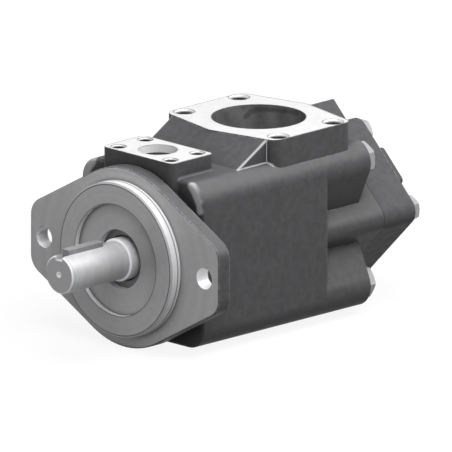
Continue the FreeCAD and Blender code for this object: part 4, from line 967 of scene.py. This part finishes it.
def thread_tree(material):
    """A thread's crest wound down inside each of four holes round a centre."""
    shapes = Shapes(
        "hole threads", Float="Radius Pitch Rise Depth Across Along", Vector="Centre Tilt"
    )
    given = shapes.given
    helix = shapes.make(
        "GeometryNodeCurveSpiral",
        resolution=20,
        rotations=shapes.math("DIVIDE", given["Depth"], given["Pitch"]),
        start_radius=given["Radius"],
        end_radius=given["Radius"],
        height=given["Depth"],
    )
    helix = shapes.raised(helix, shapes.times(given["Depth"], -1.0))
    crest = shapes.make("GeometryNodeCurvePrimitiveCircle", resolution=3, radius=given["Rise"])
    coil = shapes.make("GeometryNodeCurveToMesh", curve=helix, profile_curve=crest, fill_caps=True)
    grid = shapes.make(
        "GeometryNodeMeshGrid",
        vertices_x=2,
        vertices_y=2,
        size_x=shapes.times(given["Across"], 2.0),
        size_y=shapes.times(given["Along"], 2.0),
    )
    ring = shapes.make("GeometryNodeInstanceOnPoints", points=grid, instance=coil)
    ring = shapes.moved(ring, given["Centre"])
    shapes.finish(shapes.moved(ring, rotation=given["Tilt"]), material)
    return shapes


def fairing_mesh():
    """A thin closed skin over the ramp, up to both front edges of the suction pad."""
    half = RAMP_HALF - FAIRING_INSET
    columns, rows = FAIRING_COLUMNS, FAIRING_ROWS
    form = bmesh.new()
    grids = []
    for sink in (0.0, FAIRING_DEPTH):
        grid = []
        for i in range(columns + 1):
            x = half * (2 * i / columns - 1)
            # A soft ridge below the pad's tip
            across = math.hypot(x, FAIRING_RIDGE)
            top_y = PAD_TIP_Y + across * PAD_RISE / PAD_HALF
            column = []
            for j in range(rows + 1):
                share = j / rows
                y = RAMP_FOOT[0] + (top_y - RAMP_FOOT[0]) * share
                z = RAMP_FOOT[1] + (RAMP_TOP[1] - RAMP_FOOT[1]) * share
                column.append(form.verts.new((x, y + sink * 0.5, z - sink)))
            grid.append(column)
        grids.append(grid)
    top, under = grids
    for i in range(columns):
        for j in range(rows):
            form.faces.new((top[i][j], top[i + 1][j], top[i + 1][j + 1], top[i][j + 1]))
            form.faces.new((under[i][j], under[i][j + 1], under[i + 1][j + 1], under[i + 1][j]))
    for i in range(columns):
        form.faces.new((top[i][0], under[i][0], under[i + 1][0], top[i + 1][0]))
        form.faces.new((top[i][-1], top[i + 1][-1], under[i + 1][-1], under[i][-1]))
    for j in range(rows):
        form.faces.new((top[0][j], top[0][j + 1], under[0][j + 1], under[0][j]))
        form.faces.new((top[-1][j], under[-1][j], under[-1][j + 1], top[-1][j + 1]))
    mesh = bpy.data.meshes.new("suction_ramp")
    form.to_mesh(mesh)
    form.free()
    mesh.materials.append(bpy.data.materials["body casting"])
    shade_smooth(mesh, 30)
    return mesh


# Stage


def white_for_the_eye(shades):
    """1 for camera, glossy and transmission rays, which see a white background."""
    path = shades.add("ShaderNodeLightPath").outputs
    return shades.any_of(path["Is Camera Ray"], path["Is Glossy Ray"], path["Is Transmission Ray"])


def area_light(name, place, watts):
    data = bpy.data.lights.new(name, "AREA")
    data.shape = "SQUARE"
    data.size = LAMP_SIZE
    data.energy = watts
    lamp = placed(name, data)
    lamp.location = place
    aim(lamp, Vector(LAMP_TARGET) - Vector(place))


def make_camera(stage):
    """A parallel view from 45 degrees right of the shaft and a little above it."""
    right = Vector((ROOT_HALF, ROOT_HALF, 0.0))
    rise = math.radians(VIEW_RISE)
    back = Vector((ROOT_HALF * math.cos(rise), -ROOT_HALF * math.cos(rise), math.sin(rise)))
    up = back.cross(right)
    data = bpy.data.cameras.new("camera")
    data.type = "ORTHO"
    data.ortho_scale = stage.view_width
    camera = placed("camera", data)
    middle = right * VIEW_CENTRE[0] + up * VIEW_CENTRE[1]
    camera.location = middle + back * stage.camera_distance
    aim(camera, -back)
    bpy.context.scene.camera = camera


def make_floor(stage):
    """A floor that takes the pump's shadow and fades into the white background."""
    mesh = bpy.data.meshes.new("floor")
    form = bmesh.new()
    bmesh.ops.create_grid(form, x_segments=1, y_segments=1, size=stage.floor_size / 2)
    bmesh.ops.translate(form, verts=form.verts, vec=(0.0, 0.0, CAD_BOX[0].z))
    form.to_mesh(mesh)
    form.free()
    floor = placed("floor", mesh)
    material = bpy.data.materials.new("floor")
    shades = Shades(emptied(material))
    seen = white_for_the_eye(shades)
    place = shades.add("ShaderNodeTexCoord").outputs["Object"]
    away = shades.vector("DISTANCE", place, (*LAMP_TARGET[:2], CAD_BOX[0].z))
    far = shades.step(away, *FLOOR_FADE)
    matt = shades.add("ShaderNodeBsdfDiffuse")
    shades.feed(matt.inputs["Color"], shades.blend(seen, (0.14, 0.14, 0.14), (0.1, 0.1, 0.1)))
    glow = shades.add("ShaderNodeEmission")
    shades.feed(glow.inputs["Strength"], shades.all_of(seen, shades.between(far, 0.9, 1.0)))
    both = shades.fill(shades.add("ShaderNodeAddShader"), (matt.outputs[0], glow.outputs[0]))
    end = shades.add("ShaderNodeOutputMaterial")
    shades.feed(end.inputs["Surface"], both.outputs[0])
    mesh.materials.append(material)


def make_world(stage):
    """A faint even light that the eye and reflections see as white."""
    world = bpy.data.worlds.new("studio")
    shades = Shades(emptied(world))
    sky = shades.add("ShaderNodeBackground")
    seen = white_for_the_eye(shades)
    shades.feed(sky.inputs["Strength"], shades.between(seen, stage.sky, 1.0))
    end = shades.add("ShaderNodeOutputWorld")
    shades.feed(end.inputs["Surface"], sky.outputs[0])
    bpy.context.scene.world = world


# Operators


class PUMP_OT_stage(bpy.types.Operator):
    """Set the floor, the lights and the camera"""

    bl_idname = "pump.stage"
    bl_label = "Set Stage"

    def execute(self, context):
        stage = context.scene.pump_stage
        context.scene.view_settings.view_transform = "Standard"
        make_world(stage)
        make_floor(stage)
        for side, place in LAMPS.items():
            area_light(side + " light", place, getattr(stage, side + "_power"))
        make_camera(stage)
        return {"FINISHED"}


class PUMP_OT_castings(bpy.types.Operator):
    """Paint the three castings and bare their machined faces"""

    bl_idname = "pump.castings"
    bl_label = "Paint Castings"

    def execute(self, context):
        for casting in (CapCasting, BodyCasting, EndCasting):
            casting()
        return {"FINISHED"}


class PUMP_OT_inner_finishes(bpy.types.Operator):
    """Give the shaft and every inner part its own finish"""

    bl_idname = "pump.inner_finishes"
    bl_label = "Finish Inner Parts"

    def execute(self, context):
        # Name, colour, metal, roughness, spacing of the tool marks, their depth, and the share of
        # lighter edges for wear and painted highlight
        finishes = {
            "seal_rubber": ("seal rubber", (0.028, 0.028, 0.03), 0.0, 0.55, 0.0012),
            "bearing_steel": ("bearing steel", (0.75, 0.76, 0.78), 0.9, 0.12, 0.0002, 0.000002),
            "cage_steel": ("pressed cage", (0.5, 0.5, 0.51), 0.8, 0.38, 0.0009, 0.00001),
            "spring_steel": ("black spring steel", (0.1, 0.1, 0.11), 0.7, 0.35, 0.0006),
            "cartridge_iron": ("ground iron", (0.36, 0.36, 0.37), 0.6, 0.34, 0.0005, 0.00001, 0.3),
            "vane_steel": ("vane steel", (0.58, 0.59, 0.61), 0.8, 0.22, 0.0003, 0.000005),
            "bush_bronze": ("bush bronze", (0.55, 0.34, 0.13), 0.85, 0.3, 0.0004, 0.00001),
        }
        made = {slot: plain_material(*values) for slot, values in finishes.items()}
        made["shaft_steel"] = shaft_material("ground steel")
        for node, slot in SLOT_OF.items():
            if slot in made:
                use(made[slot], node)
        use(plain_material("key steel", (0.25, 0.25, 0.255), 0.15, 0.5, rub_and_highlight=1.0), "shaft_key")
        use(seal_material("cased seal"), "shaft_seal")
        return {"FINISHED"}


class PUMP_OT_ramp(bpy.types.Operator):
    """Fair the ramp of the suction port up to the front edges of its pad"""

    bl_idname = "pump.ramp"
    bl_label = "Fair Suction Ramp"

    def execute(self, context):
        piece = placed("suction_ramp", fairing_mesh())
        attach(piece, "casing")
        return {"FINISHED"}


class PUMP_OT_long_bolts(bpy.types.Operator):
    """Build the four long bolts that clamp the housing to the mounting cap"""

    bl_idname = "pump.long_bolts"
    bl_label = "Build Long Bolts"

    def execute(self, context):
        sizes = context.scene.pump_hardware
        clamping_bolts(
            "long_bolts",
            "housing_bolts",
            flats=sizes.long_flats,
            head=sizes.long_head,
            shank=sizes.long_shank,
            reach=LONG_BOLT_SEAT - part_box("housing_bolts")[0].y,
            across=LONG_BOLT_PLACE,
            up=LONG_BOLT_PLACE,
            seat=LONG_BOLT_SEAT,
        )
        return {"FINISHED"}


class PUMP_OT_end_bolts(bpy.types.Operator):
    """Build the four bolts that clamp the end cap to the housing"""

    bl_idname = "pump.end_bolts"
    bl_label = "Build End Bolts"

    def execute(self, context):
        sizes = context.scene.pump_hardware
        clamping_bolts(
            "end_bolts",
            "end_cap_bolts",
            flats=sizes.end_flats,
            head=sizes.end_head,
            shank=sizes.end_shank,
            reach=END_BOLT_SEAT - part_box("end_cap_bolts")[0].y,
            across=END_BOLT_CIRCLE,
            up=0.0,
            seat=END_BOLT_SEAT,
        )
        return {"FINISHED"}


class PUMP_OT_threads(bpy.types.Operator):
    """Wind the threads of the port screws' holes"""

    bl_idname = "pump.threads"
    bl_label = "Cut Port Threads"

    def execute(self, context):
        sizes = context.scene.pump_hardware
        tree = thread_tree(plain_material("tapped iron", (0.5, 0.5, 0.51), 0.4, 0.35, 0.0005))
        # Radius, depth, places of the holes, middle of the threads' tops, and the pad's tilt
        port1_top = (0.0, PORT1[1], PORT1[2] - 0.003)
        suction_top = (0.0, SUCTION[1], SUCTION[2] - 0.004)
        port2_top = (0.0, PORT2_Y, PORT2_HEIGHT - 0.0025)
        ports = {
            "port1_threads": (0.0053, 0.018, PORT1_HOLES, port1_top, 0.0),
            "suction_threads": (0.007, 0.023, SUCTION_HOLES, suction_top, 0.0),
            "port2_threads": (0.0043, 0.015, PORT2_HOLES, port2_top, -math.pi / 4),
        }
        for name, (radius, depth, (across, along), centre, tilt) in ports.items():
            values = {
                "Radius": radius,
                "Pitch": sizes.thread_pitch,
                "Rise": sizes.thread_rise,
                "Depth": depth,
                "Across": across,
                "Along": along,
                "Centre": centre,
                "Tilt": (0.0, tilt, 0.0),
            }
            grown(name, tree, values, "casing", sharp=50)
        return {"FINISHED"}


class PUMP_PT_panel(bpy.types.Panel):
    """Lists the steps that dress the pump"""

    bl_idname = "PUMP_PT_panel"
    bl_label = "Vane Pump"
    bl_space_type = "VIEW_3D"
    bl_region_type = "UI"
    bl_category = "Vane Pump"

    def draw(self, context):
        for operator in STEPS:
            self.layout.operator(operator.bl_idname)
        for group in GROUPS:
            box = self.layout.box()
            settings = getattr(context.scene, group)
            for name in settings.__annotations__:
                box.prop(settings, name)


STEPS = (
    PUMP_OT_stage,
    PUMP_OT_castings,
    PUMP_OT_inner_finishes,
    PUMP_OT_ramp,
    PUMP_OT_long_bolts,
    PUMP_OT_end_bolts,
    PUMP_OT_threads,
)
GROUPS = {"pump_finish": PumpFinish, "pump_hardware": PumpHardware, "pump_stage": PumpStage}


def register():
    for item in (*GROUPS.values(), *STEPS, PUMP_PT_panel):
        bpy.utils.register_class(item)
    for name, group in GROUPS.items():
        setattr(bpy.types.Scene, name, bpy.props.PointerProperty(type=group))


def unregister():
    for name in GROUPS:
        delattr(bpy.types.Scene, name)
    for item in (PUMP_PT_panel, *reversed(STEPS), *reversed(GROUPS.values())):
        bpy.utils.unregister_class(item)


def main():
    register()
    make_shader_groups()
    bpy.ops.pump.stage()
    bpy.ops.pump.castings()
    bpy.ops.pump.inner_finishes()
    bpy.ops.pump.ramp()
    bpy.ops.pump.long_bolts()
    bpy.ops.pump.end_bolts()
    bpy.ops.pump.threads()


if __name__ == "__main__":
    main()
